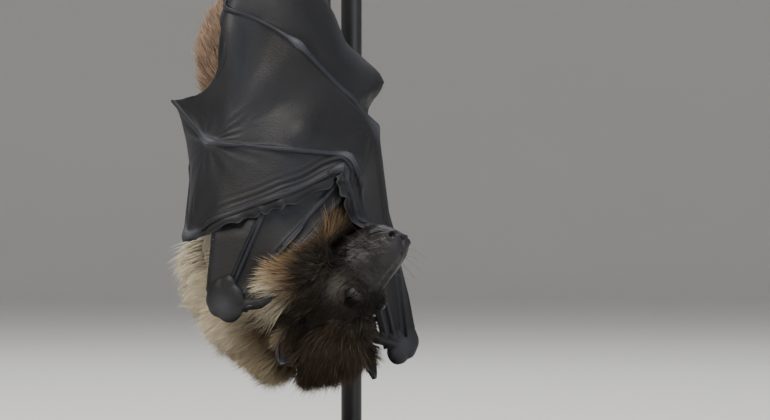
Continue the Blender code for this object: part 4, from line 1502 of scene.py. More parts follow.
@dataclass
class CoatPiece:
    """One stretch of coat: tufts rooted in the skin, made as one joined mesh."""

    name: str
    lie: Lie
    count: int
    length: tuple[float, float]
    width: float
    lift: tuple[float, float]
    seed: int
    keep: Callable[[Array, Array], Array]

    def flow(self, roots: Array, normals: Array) -> Array:
        """Direction along the skin that the hair points.

        Args:
            roots: where the tufts stand.
            normals: the skin's outward directions there.

        Returns:
            N by 3 directions along the skin.
        """
        snout, left, crown = HEAD.matrix()
        tailwards = ease(84, 122, roots[:, 2])[:, None]
        way = mix(-snout, np.array([0.0, 0.25, 1.0]), tailwards)
        along, side, up = HEAD.local(roots).T
        spokes = unit(np.outer(side, left) + np.outer(up + 2.0, crown))
        near = ease(-28, 4, along)[:, None] * (1 - tailwards)
        flat = 1 - 0.9 * ease(2, 12, along) * ease(0, 8, up)
        way = way + 1.3 * near * flat[:, None] * spokes
        if self.lie is Lie.RUFF:
            way = mix(-snout, -0.2 * snout + 1.4 * spokes, ease(-6, 10, along)[:, None])
        if self.lie is Lie.LEG:
            way = np.repeat(np.array([[0.0, 0.0, 1.0]]), len(roots), 0)
        sway = np.stack([noise(roots, 11.0, self.seed + k) for k in (1, 2, 3)], 1)
        fine = np.stack([noise(roots, 3.2, self.seed + k) for k in (4, 5, 6)], 1)
        way = way + 0.45 * sway + 0.35 * fine
        way = way - np.sum(way * normals, 1, keepdims=True) * normals
        return unit(way)

    def size(self, roots: Array) -> Array:
        """Length of each tuft before chance.

        Args:
            roots: where the tufts stand.

        Returns:
            N lengths in millimetres.
        """
        along, _, up = HEAD.local(roots).T
        shorter = {
            Lie.FACE: ease(15, 30, along), Lie.HEAD: ease(-2, 15, along) * ease(-14, -6, up),
            Lie.RUFF: ease(24, 31, along), Lie.LEG: ease(200, 255, roots[:, 2])}
        return mix(self.length[1], self.length[0], shorter.get(self.lie, np.zeros(len(roots))))

    def grow(self, skin: Shape, cover: BVHTree) -> Optional[Shape]:
        """Root the tufts in the skin and bend them over.

        Args:
            skin: the skin that carries the coat.
            cover: what lies over the coat, that no tuft may cross.

        Returns:
            The joined tufts with their colours, or None where none grows.
        """
        rng = np.random.default_rng(SEED + self.seed)
        corners = triangles_of(skin)
        a, b, c = (skin.points[corners[:, k]] for k in range(3))
        middles = (a + b + c) / 3
        across = np.cross(b - a, c - a)
        area = length_of(across) / 2 * self.keep(middles, HEAD.local(middles))
        if self.lie is Lie.HEAD:
            area = area * self.outside(middles)
        if area.sum() <= 0:
            return None
        pick = rng.choice(len(area), self.count, p=area / area.sum())
        u, v = rng.random((2, self.count))
        over = u + v > 1
        u, v = np.where(over, 1 - u, u), np.where(over, 1 - v, v)
        roots = a[pick] + u[:, None] * (b - a)[pick] + v[:, None] * (c - a)[pick]
        normals = unit(point_normals(skin)[corners[pick]].mean(1))
        length = self.size(roots) * rng.uniform(0.72, 1.15, self.count)
        length *= 1 + 0.22 * noise(roots, 6.0, self.seed + 9)
        way = unit(self.flow(roots, normals) + 0.16 * rng.normal(size=(self.count, 3)))
        first = mix(self.lift[1], self.lift[0], rng.random(self.count) ** 1.3)
        first = first + 0.12 * noise(roots, 5.0, self.seed + 8)
        bend = [mix(first, first * 0.45, share)[:, None] for share in (0.0, 0.5, 1.0)]
        steps = [(np.cos(t) * way + np.sin(t) * normals) * length[:, None] / 3 for t in bend]
        tips = roots + sum(steps)
        if self.lie is Lie.RUFF:
            knees = [roots, roots + steps[0], roots + steps[0] + steps[1], tips]
            parts = [self.clear(p, q, cover) for p, q in zip(knees, knees[1:])]
            reach = np.min([np.where(part < 1, (k + part) / 3, 1) for k, part in enumerate(parts)], axis=0)
        else:
            reach = self.clear(roots, tips, cover)
        alive = reach * length > 1.0 if self.lie is not Lie.FACE else reach > 0.6
        roots, normals, way = roots[alive], normals[alive], way[alive]
        steps = [s[alive] * reach[alive, None] for s in steps]
        return self.bladed(roots, normals, way, steps, rng)

    @staticmethod
    def outside(points: Array) -> Array:
        """True for places that the face's own skin doesn't cover.

        Args:
            points: N by 3 places.

        Returns:
            N truths.
        """
        tree = tree_of(FACE.shape())
        found = [tree.find_nearest(Vector(p)) for p in points]
        return np.array([hit[1].dot(Vector(p) - hit[0]) > 0.3 for hit, p in zip(found, points)])

    @staticmethod
    def clear(roots: Array, tips: Array, cover: BVHTree) -> Array:
        """Share of each tuft that stays short of whatever covers the coat.

        Args:
            roots: where the tufts stand.
            tips: where they end.
            cover: what lies over them.

        Returns:
            N shares of their lengths.
        """
        share = np.ones(len(roots))
        for k, (root, tip) in enumerate(zip(roots, tips)):
            span = tip - root
            far = float(np.linalg.norm(span))
            hit = cover.ray_cast(Vector(root), Vector(span / max(far, 1e-6)), far + 0.6)
            if hit[0] is not None:
                share[k] = max(0.0, (hit[3] - 0.6) / far)
        return share

    def bladed(self, roots: Array, normals: Array, way: Array, steps: list,
               rng: np.random.Generator) -> Shape:
        """Give each tuft a narrow tapering blade of seven points.

        Args:
            roots: where the tufts stand.
            normals: the skin's outward directions there.
            way: the directions they lie in.
            steps: three steps from root to tip.
            rng: the piece's own source of chance.

        Returns:
            The joined blades with their colours.
        """
        count = len(roots)
        spin = rng.uniform(-1.1, 1.1, count)[:, None]
        flat = unit(np.cross(way, normals))
        flat = unit(np.cos(spin) * flat + np.sin(spin) * normals)
        wide = self.width * rng.uniform(0.75, 1.25, count)[:, None]
        line = [roots - 0.4 * normals]
        for step in steps:
            line.append(line[-1] + step)
        rings = []
        for centre, share in zip(line[:3], (0.7, 1.0, 0.62)):
            rings += [centre - flat * wide * share / 2, centre + flat * wide * share / 2]
        points = np.stack([*rings, line[3]], 1).reshape(-1, 3)
        base = 7 * np.arange(count)[:, None]
        quads = [base + np.array([[k, k + 1, k + 3, k + 2]]) for k in (0, 2)]
        tips = base + np.array([[4, 5, 6]])
        faces = [*map(tuple, np.vstack(quads)), *map(tuple, tips)]
        colour = MARKS.at(roots, HEAD)
        dark = ease(0.12, 0.03, colour.mean(1)) * (self.lie in (Lie.FACE, Lie.HEAD))
        pale = (rng.random(count) < 0.10 * dark * (self.lie is not Lie.FACE))[:, None]
        colour = mix(colour, linear(MARKS.golden), 0.4 * pale)
        spread = 0.45 if self.lie is Lie.FACE else 0.22
        chance = rng.uniform(1 - spread, 1 + 1.1 * spread, count)[:, None]
        warm = 1 + 0.06 * rng.normal(size=(count, 1)) * np.array([[1.0, 0.2, -0.8]])
        # Each blade darkens towards its root and pales to its tip: painted shade deep in the coat, and the
        # hair's own pale tips.
        root_shade_and_pale_tips = [0.38, 0.38, 0.80, 0.80, 1.12, 1.12, 1.4]
        tint = np.stack([colour * chance * warm * s for s in root_shade_and_pale_tips], 1).reshape(-1, 3)
        return Shape(points, faces, np.clip(tint, 0, 1))

    def mapped(self, mesh: Mesh) -> None:
        """Give each tuft its own small patch on an unwrap of the skin, for baking.

        Args:
            mesh: the joined tufts.
        """
        points = np.zeros(len(mesh.vertices) * 3)
        mesh.vertices.foreach_get("co", points)
        points = points.reshape(-1, 7, 3) / MM
        roots = points[:, :2].mean(1)
        if self.lie in (Lie.FACE, Lie.HEAD, Lie.RUFF, Lie.EAR):
            along, side, up = HEAD.local(roots).T
            angle, rise = np.arctan2(side, up), (along + 30) / 80
        else:
            angle, _, height = AXIS.to_round(roots).T
            rise = (height - 30) / 245
        u = (angle / (2 * math.pi) + 0.5) * 0.96 + 0.02
        v = np.clip(rise, 0, 1) * 0.96 + 0.02
        patch = 0.003 * np.array([[0, 0], [1, 0], [0, 0.4], [1, 0.4], [0.1, 0.75], [0.9, 0.75], [0.5, 1]])
        places = (np.stack([u, v], 1)[:, None] + patch[None] - 0.0015).reshape(-1, 2)
        index = np.zeros(len(mesh.loops), np.int32)
        mesh.loops.foreach_get("vertex_index", index)
        layer = mesh.uv_layers.new(name="OFBake")
        layer.data.foreach_set("uv", places[index].astype(np.float32).ravel())


# ---- feet, claws, whiskers


@dataclass(frozen=True)
class BranchAxes:
    """Where the branch is: along it, round it, and out from its middle."""

    centre: Point = (4.0, -6.0, 296.0)
    turn: float = math.radians(30)
    radius: float = 13.0
    ends: tuple[float, float] = (-52.0, 78.0)
    straight: float = 26.0

    @property
    def way(self) -> Array:
        """Direction along the branch."""
        return np.array([math.cos(self.turn), math.sin(self.turn), 0.0])

    def place(self, along: Array, angle: Array, out: Array) -> Array:
        """Points from measures along, round and out from the branch's straight middle line.

        Args:
            along: measures along the branch.
            angle: angles from its back over its top.
            out: distances from its middle line.

        Returns:
            A position for each.
        """
        along, angle, out = (np.asarray(v, float)[..., None] for v in (along, angle, out))
        back = np.array([-math.sin(self.turn), math.cos(self.turn), 0.0])
        spoke = np.cos(angle) * back + np.sin(angle) * np.array([0.0, 0.0, 1.0])
        return np.asarray(self.centre) + along * self.way + out * spoke

    def middle(self, along: Array) -> tuple[Array, Array]:
        """Centres and radii of the branch itself, bent a little down beyond its middle.

        Args:
            along: measures along the branch.

        Returns:
            A centre and a radius for each.
        """
        along = np.asarray(along, float)
        beyond = np.maximum(0.0, np.abs(along) - self.straight)
        centres = self.place(along, 0.0 * along, 0.0 * along)
        centres[..., 2] -= 0.0016 * beyond**2
        return centres, self.radius - 0.004 * beyond**2 * (along < 0)


BRANCH = BranchAxes()


@dataclass
class Foot:
    """A hind foot: five toes side by side, hooked over the branch, with horn claws."""

    side: str
    spread: float = 13.0
    spacing: float = 3.7
    ring: float = 15.3
    voxel: float = 0.42
    toes: list[Array] = field(default_factory=list)

    @property
    def middle(self) -> float:
        """Where the foot is along the branch."""
        return -hand_of(self.side) * self.spread

    def shape(self) -> Shape:
        """Fuse the ankle, palm and toes, with pads and creases along each toe.

        Returns:
            The closed shape with its colours.
        """
        ankle = BRANCH.place(self.middle, -1.05, BRANCH.radius + 18)
        sole = BRANCH.place(self.middle, 0.0, BRANCH.radius + 4.2)
        palm = np.array([
            ankle, mix(ankle, sole, 0.4), mix(ankle, sole, 0.8),
            BRANCH.place(self.middle, 0.18, BRANCH.radius + 3.6)])
        whole = tube(along_line(palm, even(16)), np.interp(
            even(16), (0, 0.35, 0.75, 1), (2.8, 3.4, 3.9, 2.2)), 20)
        shank = cad_shape(f"leg_{self.side}").points
        high = shank[:, 2].max()
        top = shank[shank[:, 2] > high - 1.5].mean(0)
        down = unit(shank[shank[:, 2] > high - 45].mean(0) - top)
        shin = along_line(np.array([top + 13 * down, top, ankle]), even(14))
        whole = whole.joined(tube(shin, np.linspace(1.7, 2.9, 14), 16))
        self.toes = []
        for rank in range(-2, 3):
            along = self.middle + rank * self.spacing
            turns = np.linspace(0.0, 1.25 - 0.05 * abs(rank), 30)
            toe = np.vstack([mix(ankle, sole, 0.7)[None], BRANCH.place(
                along + 0 * turns, turns, self.ring + 0.5 * np.cos(turns))])
            self.toes.append(toe)
            share = even(len(toe))
            joints = 0.28 * hump(share, 0.42, 0.05) + 0.30 * hump(share, 0.72, 0.05)
            whole = whole.joined(tube(toe, 1.9 - 0.5 * share + joints, 16))
        skin = remeshed(whole, self.voxel, 3)
        crease = np.zeros(len(skin.points))
        for toe in self.toes:
            far, share = near_line(skin.points, toe)
            crease += hump(far, 0, 1.6, 4) * np.cos(share * 2 * math.pi * 17) * (share > 0.25)
        skin.points += point_normals(skin) * (0.07 * crease + 0.09 * noise(skin.points, 1.4, 31))[:, None]
        skin.tint = layered(linear("2C2826"), ("4A4340", ease(-0.5, 0.8, noise(skin.points, 5.0, 32))))
        return skin

    def claws(self) -> Shape:
        """Five hooked claws, narrow from side to side.

        Returns:
            The joined claws.
        """
        horns = []
        for rank in range(-2, 3):
            along = self.middle + rank * self.spacing
            start = 1.25 - 0.05 * abs(rank) - 0.4 / self.ring
            turns = np.linspace(start, start + 0.86, 18)
            out = self.ring + 0.35 + 1.5 * np.sin(math.pi * (turns - start) / 1.1)
            line = BRANCH.place(along + 0 * turns, turns, out)
            claw = tube(line, 1.28 * (1 - even(18) ** 1.6) + 0.12, 14)
            sideways = (claw.points - line[0]) @ BRANCH.way
            claw.points -= np.outer(0.34 * sideways, BRANCH.way)
            horns.append(claw)
        return reduce(Shape.joined, horns)


@dataclass
class ThumbClaw:
    """The hooked claw at the end of the free thumb."""

    arm: ArmSkin

    def shape(self) -> Shape:
        """Follow the solid's own bend with a finer, tapering horn.

        Returns:
            The closed shape.
        """
        side = self.arm.wing.side
        points = cad_shape(f"thumb_claw_{side}").points
        tip_of_thumb = self.arm.thumb_line[-1]
        order = np.argsort(length_of(points - tip_of_thumb))
        points = points - self.arm.wing.thumb_sink * self.arm.wing.outwards
        groups = np.array_split(points[order], 6)
        line = np.array([tip_of_thumb - 0.6 * unit(self.arm.thumb_line[-1] - self.arm.thumb_line[-3]),
                         *[g.mean(0) for g in groups]])
        smooth = along_line(line, even(22))
        for _ in range(3):
            smooth[1:-1] = (smooth[:-2] + smooth[1:-1] * 2 + smooth[2:]) / 4
        return tube(smooth, 1.35 * (1 - even(22) ** 1.5) + 0.14, 14)


@dataclass
class Whiskers:
    """Stiff hairs on both sides of the muzzle."""

    count: int = 12
    thickness: float = 0.065

    def shape(self, face: BVHTree) -> Shape:
        """Root each hair on the face and curve it out and back.

        Args:
            face: search tree of the head's skin.

        Returns:
            The joined hairs.
        """
        rng = np.random.default_rng(SEED + 70)
        hairs = []
        snout, left, crown = HEAD.matrix()
        for hand in (-1, 1):
            for _ in range(self.count):
                along = rng.uniform(27, 41)
                up = rng.uniform(-9.0, -1.5)
                start = HEAD.place(along, hand * 20.0, up)
                hit = face.ray_cast(Vector(start), Vector(left * -hand))
                if hit[0] is None:
                    continue
                root = np.array(hit[0])
                spread = snout * rng.uniform(-0.25, 0.45) + crown * rng.uniform(-0.5, 0.5)
                way = unit(hand * left + spread)
                length = rng.uniform(7, 16)
                share = even(12)[:, None]
                sag = -snout * 0.35 + crown * rng.uniform(-0.3, 0.3)
                line = root - 0.4 * way + length * (way * share + sag * share**2 * 0.6)
                hairs.append(tube(line, self.thickness * (1 - 0.8 * share[:, 0]), 5))
        return reduce(Shape.joined, hairs)


@dataclass
class FoldedEdge:
    """The slack front edge of the wing, gathered in a ruffle beside the third finger."""

    wing: Wing
    width: float = 4.6
    start: float = 0.24
    end: float = 0.80
    columns: int = 190
    rows: int = 14

    def shape(self) -> Shape:
        """Hang a ruffled ribbon from the finger and give it a thin wall.

        Returns:
            The closed shape with its colours.
        """
        share = np.linspace(self.start, self.end, self.columns)
        spine = along_line(self.wing.lines["third"], share)
        ways = unit(np.gradient(spine, axis=0))
        rounds = AXIS.to_round(spine)
        outward = np.stack([np.sin(rounds[:, 0]), -np.cos(rounds[:, 0]), 0 * rounds[:, 0]], 1)
        down = unit(np.cross(ways, outward))
        down *= np.sign(-down[:, 2:3])
        at = (share - self.start) / (self.end - self.start)
        swell = np.sin(math.pi * at) ** 0.6
        across = even(self.rows)[:, None]
        phase = 2 * math.pi * (9.5 * at + 0.25 * np.sin(2 * math.pi * at * 3.1))
        wave = np.sin(phase)[None] * across**1.3 + 0.35 * np.sin(2.3 * phase)[None] * across**2
        reach = self.width * swell * (1 + 0.14 * np.sin(1.7 * phase))
        ribbon = (
            spine[None] + down[None] * (across * reach)[..., None]
            + outward[None] * (0.85 * wave * swell + 0.9 * np.sin(math.pi * across) - 0.35)[..., None]
            + ways[None] * (0.7 * np.cos(phase)[None] * across)[..., None]
        )
        # Painted highlight: paler along the ribbon's free edge.
        edge = ease(0.80, 1.0, across) + 0 * reach[None]
        return thickened(ribbon, 0.2, layered(linear("17181B"), ("4C5059", (0.7 * edge).ravel())))


@dataclass
class ArmWeb:
    """The skin between the right forearm and the flank, dark and slack behind the muzzle."""

    wing: Wing
    start: float = 0.10
    end: float = 0.86
    rows: int = 90
    columns: int = 40
    half: float = 0.22

    def shape(self, envelope: Envelope) -> Shape:
        """Span from the forearm to the coat's surface with a few soft folds.

        Args:
            envelope: the coat's surface.

        Returns:
            The closed shape with its colours.
        """
        share = np.linspace(self.start, self.end, self.rows)
        outer = along_line(self.wing.lines["forearm"], share)
        rounds = AXIS.to_round(outer)
        inner = rounds.copy()
        inner[:, 0] -= 0.30
        inner[:, 1] = np.minimum(rounds[:, 1] - 1, envelope.at(inner[:, 0], inner[:, 2]) - 3.0)
        inner = AXIS.from_round(inner)
        across = even(self.columns)[None, :, None]
        middle = outer[:, None] + (inner - outer)[:, None] * across
        fold = 0.7 * np.sin(across[..., 0] * 9 + 0.05 * middle[..., 2]) + 0.4 * np.sin(middle[..., 2] * 0.55)
        middle = middle + grid_normals(middle) * (fold * np.sin(math.pi * across[..., 0]))[..., None]
        blot = ease(-0.5, 0.8, noise(middle.reshape(-1, 3), 6.0, 51))
        return thickened(middle, self.half, layered(linear("151619"), ("24262B", blot)))


# ---- perch and stand


@dataclass
class Perch:
    """A cut length of branch with furrowed bark and sawn ends."""

    rows: int = 240
    sides: int = 120
    bark_depth: float = 0.55

    def shape(self) -> Shape:
        """The bark, furrowed along the branch, with its sawn ends.

        Returns:
            The closed shape with its colours.
        """
        along = np.linspace(*BRANCH.ends, self.rows)
        turn = full_turn(self.sides)
        centres, radii = BRANCH.middle(along)
        spoke = BRANCH.place(0 * turn, turn, 1 + 0 * turn) - np.asarray(BRANCH.centre)
        flat = centres[:, None] + radii[:, None, None] * spoke[None]
        flow = flat.reshape(-1, 3) - np.outer((flat.reshape(-1, 3) @ BRANCH.way) * 0.72, BRANCH.way)
        furrow = np.abs(noise(flow, 3.0, 41)) + 0.5 * np.abs(noise(flow, 1.5, 42))
        lump = noise(flat.reshape(-1, 3), 17.0, 43)
        height = (self.bark_depth * (1.6 * np.clip(furrow, 0, 1) - 1.0) + 0.25 * lump)
        height = height.reshape(self.rows, self.sides) - 0.15
        points = (flat + height[..., None] * spoke[None]).reshape(-1, 3)
        index = np.arange(len(points)).reshape(self.rows, self.sides)
        tint = layered(
            linear("2C231C"), ("7A6A58", ease(0.1, 1.0, furrow)), ("7C8068", ease(0.25, 0.8, lump) * 0.35))
        return self.capped(Shape(points, ring_quads(index), tint), index, centres)

    @staticmethod
    def capped(bark: Shape, index: Array, centres: Array) -> Shape:
        """Close both ends with flat rings of pale sawn wood inside a dark edge.

        Args:
            bark: the open bark.
            index: its point numbers, a row for each ring.
            centres: middles of its rings.

        Returns:
            The closed shape with its colours.
        """
        shares = np.array([0.955, 0.93, 0.80, 0.6, 0.4, 0.2, 0.05])[:, None, None]
        for row in (0, -1):
            edge = index[row]
            discs = centres[row] + (bark.points[edge] - centres[row]) * shares
            shade = np.where(shares < 0.93, linear("8C7250"), linear("2C231C"))
            shade = shade * (1 + 0.12 * np.sin(shares * 60))
            inner = len(bark.points) + np.arange(discs[..., 0].size).reshape(discs.shape[:2])
            faces = [(*quad[1:], quad[0]) for quad in ring_quads(np.vstack([edge, inner]))]
            faces.append(tuple(inner[-1][::-1]))
            bark.faces += faces if row == 0 else [face[::-1] for face in faces]
            bark.points = np.vstack([bark.points, discs.reshape(-1, 3)])
            bark.tint = np.vstack([bark.tint, np.broadcast_to(shade, discs.shape).reshape(-1, 3)])
        return facing_out(bark)

    @staticmethod
    def flakes(bark: Mesh, material: Material) -> Mesh:
        """Scatter small loose flakes over the bark with Geometry Nodes.

        Args:
            bark: the branch's mesh.
            material: the flakes' finish.

        Returns:
            The flakes alone, as a plain mesh.
        """
        tree = bpy.data.node_groups.new("bark_flakes", "GeometryNodeTree")
        face = tree.interface
        face.new_socket("Geometry", in_out="INPUT", socket_type="NodeSocketGeometry")
        keys = {}
        for name, kind in (("Density", "NodeSocketFloat"), ("Flake size", "NodeSocketFloat"),
                           ("Seed", "NodeSocketInt")):
            keys[name] = face.new_socket(name, in_out="INPUT", socket_type=kind).identifier
        face.new_socket("Geometry", in_out="OUTPUT", socket_type="NodeSocketGeometry")
        given = tree.nodes.new("NodeGroupInput").outputs
        scatter = add_node(tree, "GeometryNodeDistributePointsOnFaces", {
            "Mesh": given["Geometry"], "Density": given["Density"], "Seed": given["Seed"]},
            distribute_method="RANDOM")
        flake = add_node(tree, "GeometryNodeMeshIcoSphere", {"Radius": 1.0, "Subdivisions": 1})
        sizes = add_node(tree, "FunctionNodeRandomValue", {
            0: (0.5, 0.9, 0.16), 1: (1.2, 2.4, 0.32), "Seed": given["Seed"]}, data_type="FLOAT_VECTOR")
        scaled = add_node(tree, "ShaderNodeVectorMath", {
            0: sizes.outputs[0], "Scale": given["Flake size"]}, operation="SCALE")
        copies = add_node(tree, "GeometryNodeInstanceOnPoints", {
            "Points": scatter.outputs["Points"], "Instance": flake.outputs["Mesh"],
            "Rotation": scatter.outputs["Rotation"], "Scale": scaled.outputs["Vector"]})
        real = add_node(tree, "GeometryNodeRealizeInstances", {"Geometry": copies.outputs["Instances"]})
        coated = add_node(tree, "GeometryNodeSetMaterial", {
            "Geometry": real.outputs["Geometry"], "Material": material})
        result = tree.nodes.new("NodeGroupOutput")
        tree.links.new(coated.outputs["Geometry"], result.inputs["Geometry"])
        carrier = linked("flake_carrier", bark)
        modifier = carrier.modifiers.new("Flakes", "NODES")
        modifier.node_group = tree
        for name, value in (("Density", 52000.0), ("Flake size", 1.0 * MM), ("Seed", 5)):
            modifier[keys[name]] = value
        mesh = as_seen(carrier)
        corners, count = 12, len(mesh.vertices)
        chance = np.random.default_rng(SEED).uniform(0.7, 1.3, (count // corners + 1, 1))
        painted(mesh, linear("5A4A3C") * chance.repeat(corners, 0)[:count])
        return mesh


def spun(profile: Sequence[Sequence[float]], sides: int) -> Array:
    """Rings about the upright line, one for each radius and height."""
    turn = full_turn(sides)
    return np.stack([np.stack([r * np.cos(turn), r * np.sin(turn), z + 0 * turn], 1) for r, z in profile])


@dataclass
class Stand:
    """Plain display stand: an oak plate, a steel rod with a collar, and a cradle for the branch."""

    plate: Point = (160.0, 140.0, 12.0)
    corner: float = 14.0
    round_over: float = 1.6
    rod_radius: float = 4.0
    rod_along: float = 60.0
    gap: float = 0.35
    sides: int = 96

    def turned(self, profile: Sequence[tuple[float, float]], centre: Array) -> Shape:
        """A solid of revolution about an upright line, its corners rounded over.

        Args:
            profile: pairs of radius and height, from the bottom up.
            centre: where its bottom stands.

        Returns:
            The closed shape.
        """
        corners = np.array([(0.0, profile[0][1]), *profile, (0.0, profile[-1][1])], float)
        line = [corners[0]]
        for before, here, after in zip(corners, corners[1:], corners[2:]):
            cut = min(0.5, 0.45 * np.linalg.norm(before - here), 0.45 * np.linalg.norm(after - here))
            first, last = here + unit(before - here) * cut, here + unit(after - here) * cut
            for share in even(6):
                line.append((1 - share) ** 2 * first + 2 * share * (1 - share) * here + share**2 * last)
        line.append(corners[-1])
        poles = np.array([(0.0, 0.0, line[0][1]), (0.0, 0.0, line[-1][1])])
        return lofted(spun(line[1:-1], self.sides) + centre, poles + centre)

    def base(self) -> Shape:
        """The rounded plate with a soft upper and lower edge.

        Returns:
            The closed shape.
        """
        half = np.array(self.plate[:2]) / 2
        arc = np.linspace(0, math.pi / 2, 14)
        outline, inwards = [], []
        for corner, (sx, sy) in enumerate(((1, 1), (-1, 1), (-1, -1), (1, -1))):
            for angle in arc + corner * math.pi / 2:
                spoke = np.array([math.cos(angle), math.sin(angle)])
                outline.append((half - self.corner) * (sx, sy) + self.corner * spoke)
                inwards.append(-spoke)
        outline, inwards = np.array(outline), np.array(inwards)
        r, lower, top = self.round_over, 0.6, self.plate[2]
        quarter = math.pi / 2
        steps = [(lower * (1 - math.sin(t)), lower * (1 - math.cos(t))) for t in quarter * even(5)]
        steps += [(r * (1 - math.cos(t)), top - r * (1 - math.sin(t))) for t in quarter * even(8)]
        rows = [np.hstack([outline + inwards * inset, np.full((len(outline), 1), z)]) for inset, z in steps]
        index = np.arange(len(rows) * len(outline)).reshape(len(rows), -1)
        return Shape(np.vstack(rows), [*ring_quads(index), tuple(index[0][::-1]), tuple(index[-1])])

    def cradle(self, centre: Array) -> Shape:
        """The cup cut out to the branch with a Boolean.

        Args:
            centre: middle of its foot.

        Returns:
            The closed shape.
        """
        cup = self.turned(((7.5, 0), (9.0, 1.5), (11.5, 8.0), (13.0, 15.0), (13.0, 19.0)), centre)
        along = np.linspace(self.rod_along - 22, self.rod_along + 17.9, 24)
        centres, radii = BRANCH.middle(along)
        cutter = tube(centres, radii + self.gap, 96)
        solid, tool = linked("cup", to_mesh("cup", cup)), linked("cutter", to_mesh("cutter", cutter))
        modifier = solid.modifiers.new("Cut", "BOOLEAN")
        modifier.operation = "DIFFERENCE"
        modifier.solver = "EXACT"
        modifier.object = tool
        mesh = as_seen(solid)
        bpy.data.objects.remove(tool)
        return mesh_arrays(mesh)

    def build(self) -> None:
        """Place all four pieces with their finishes."""
        metal, wood = STAND_METAL.material(), STAND_WOOD.material()
        under = BRANCH.place(self.rod_along, 0.0, 0.0)
        foot = np.array([under[0], under[1], self.plate[2] + self.gap])
        low = BRANCH.middle(self.rod_along)[0][2] - BRANCH.radius - 9.0
        place("base_plate", self.base(), wood, "stand_wood", ["stand_base"])
        rod = self.turned(((self.rod_radius, 0), (self.rod_radius, low - self.gap - foot[2])), foot)
        place("upright_rod", rod, metal, "stand_metal", ["stand_rod"])
        bore = self.rod_radius + self.gap
        ring = self.turned(((9.0, 0), (9.0, 5.0), (7.5, 7.0), (bore, 7.0)), foot)
        place("rod_collar", ring, metal, "stand_metal", ["stand_collar"])
        cup = to_mesh("branch_cradle", self.cradle(np.array([under[0], under[1], low])))
        cup.set_sharp_from_angle(angle=math.radians(40))
        place("branch_cradle", cup, metal, "stand_metal", ["stand_cradle"])


# ---- studio


@dataclass
class Studio:
    """Plain pale floor and wall, soft lights, and the camera."""

    look_at: Point = (25.2, -25.2, 101.9)
    distance: float = 1600.0
    lens: float = 199.5
    sensor: float = 36.0
    flat: float = 3400.0
    curve: float = 1600.0
    wall: float = 4500.0
    sides: int = 96

    def floor(self) -> None:
        """A pale round floor whose far edge curves up all round into a plain wall."""
        profile = [(share * self.flat, 0.0) for share in np.linspace(0.02, 1, 12)]
        for angle in np.linspace(0, math.pi / 2, 24)[1:]:
            profile.append((self.flat + self.curve * math.sin(angle), self.curve * (1 - math.cos(angle))))
        profile.append((self.flat + self.curve, self.wall))
        rings = spun(profile, self.sides)
        index = np.arange(len(rings) * self.sides).reshape(len(rings), -1)
        faces = [*(quad[::-1] for quad in ring_quads(index)), tuple(index[0])]
        mesh = to_mesh("studio_floor", Shape(rings.reshape(-1, 3), faces))
        mesh.materials.append(FLOOR.material())
        linked("studio_floor", mesh)

    @staticmethod
    def light(name: str, at: Sequence[float], size: float, watts: float, colour: str) -> None:
        """A square soft light that looks at the model's middle.

        Args:
            name: its name.
            at: where it hangs, in metres.
            size: its side in metres.
            watts: its power.
            colour: its sRGB hex colour.
        """
        lamp = bpy.data.lights.new(name, "AREA")
        lamp.shape = "SQUARE"
        lamp.size = size
        lamp.energy = watts
        lamp.color = linear(colour)
        item = linked(name, lamp)
        item.location = at
        aim = Vector((0.0, 0.0, 0.13)) - item.location
        item.rotation_euler = aim.to_track_quat("-Z", "Y").to_euler()

    def build(self) -> None:
        """Set the world, lights, floor and camera."""
        scene = bpy.context.scene
        world = bpy.data.worlds.new("soft_studio")
        world.use_nodes = True
        sky = world.node_tree.nodes["Background"]
        sky.inputs["Color"].default_value = (*linear("E9EBEF"), 1)
        sky.inputs["Strength"].default_value = 0.55
        scene.world = world
        self.floor()
        self.light("key", (-0.9, -0.35, 1.35), 0.8, 26.0, "FFF6EA")
        self.light("fill", (-0.1, -1.6, 0.5), 1.2, 9.0, "EEF3FF")
        self.light("rim", (0.62, 0.66, 1.5), 0.7, 20.0, "F4F8FF")
        lens = bpy.data.cameras.new("camera")
        lens.lens = self.lens
        lens.sensor_width = self.sensor
        lens.clip_start = 0.01
        eye = linked("camera", lens)
        middle = Vector(self.look_at) * MM
        eye.location = middle + Vector((-math.sqrt(0.5), -math.sqrt(0.5), 0.0)) * self.distance * MM
        eye.rotation_euler = (middle - eye.location).to_track_quat("-Z", "Y").to_euler()
        scene.camera = eye


# ---- the whole animal


LEFT_WING = Wing(
    "left", (-23, 1, 183), ((-23, 2, 206), (-18.5, 0.5, 230)),
    ((6.5, -30, 114.5), (33, 6, 97), (22, 32, 118)),
    ((3, -31, 119.5), (28, 2, 125), (24, 26, 142)),
    ((-18, -24, 131), (26, -22, 150), (24, 10, 172)),
    columns=(28, 36, 62), knuckle=0.25,
)
RIGHT_WING = Wing(
    "right", (27, 6, 176), ((25, 4, 200), (15, 4, 230)),
    ((-5.3, -33.6, 117.5), (-44.75, 8.7, 91.75), (-15, 37, 120)),
    ((-1.3, -33, 121.9), (-39, 3.3, 127), (-31.6, 30.5, 143)),
    ((19.3, -25.8, 133), (-16.9, -22, 163), (-24.1, 8.25, 180.6)),
    turn=math.radians(-75), drop=3.6, evening=5,
)


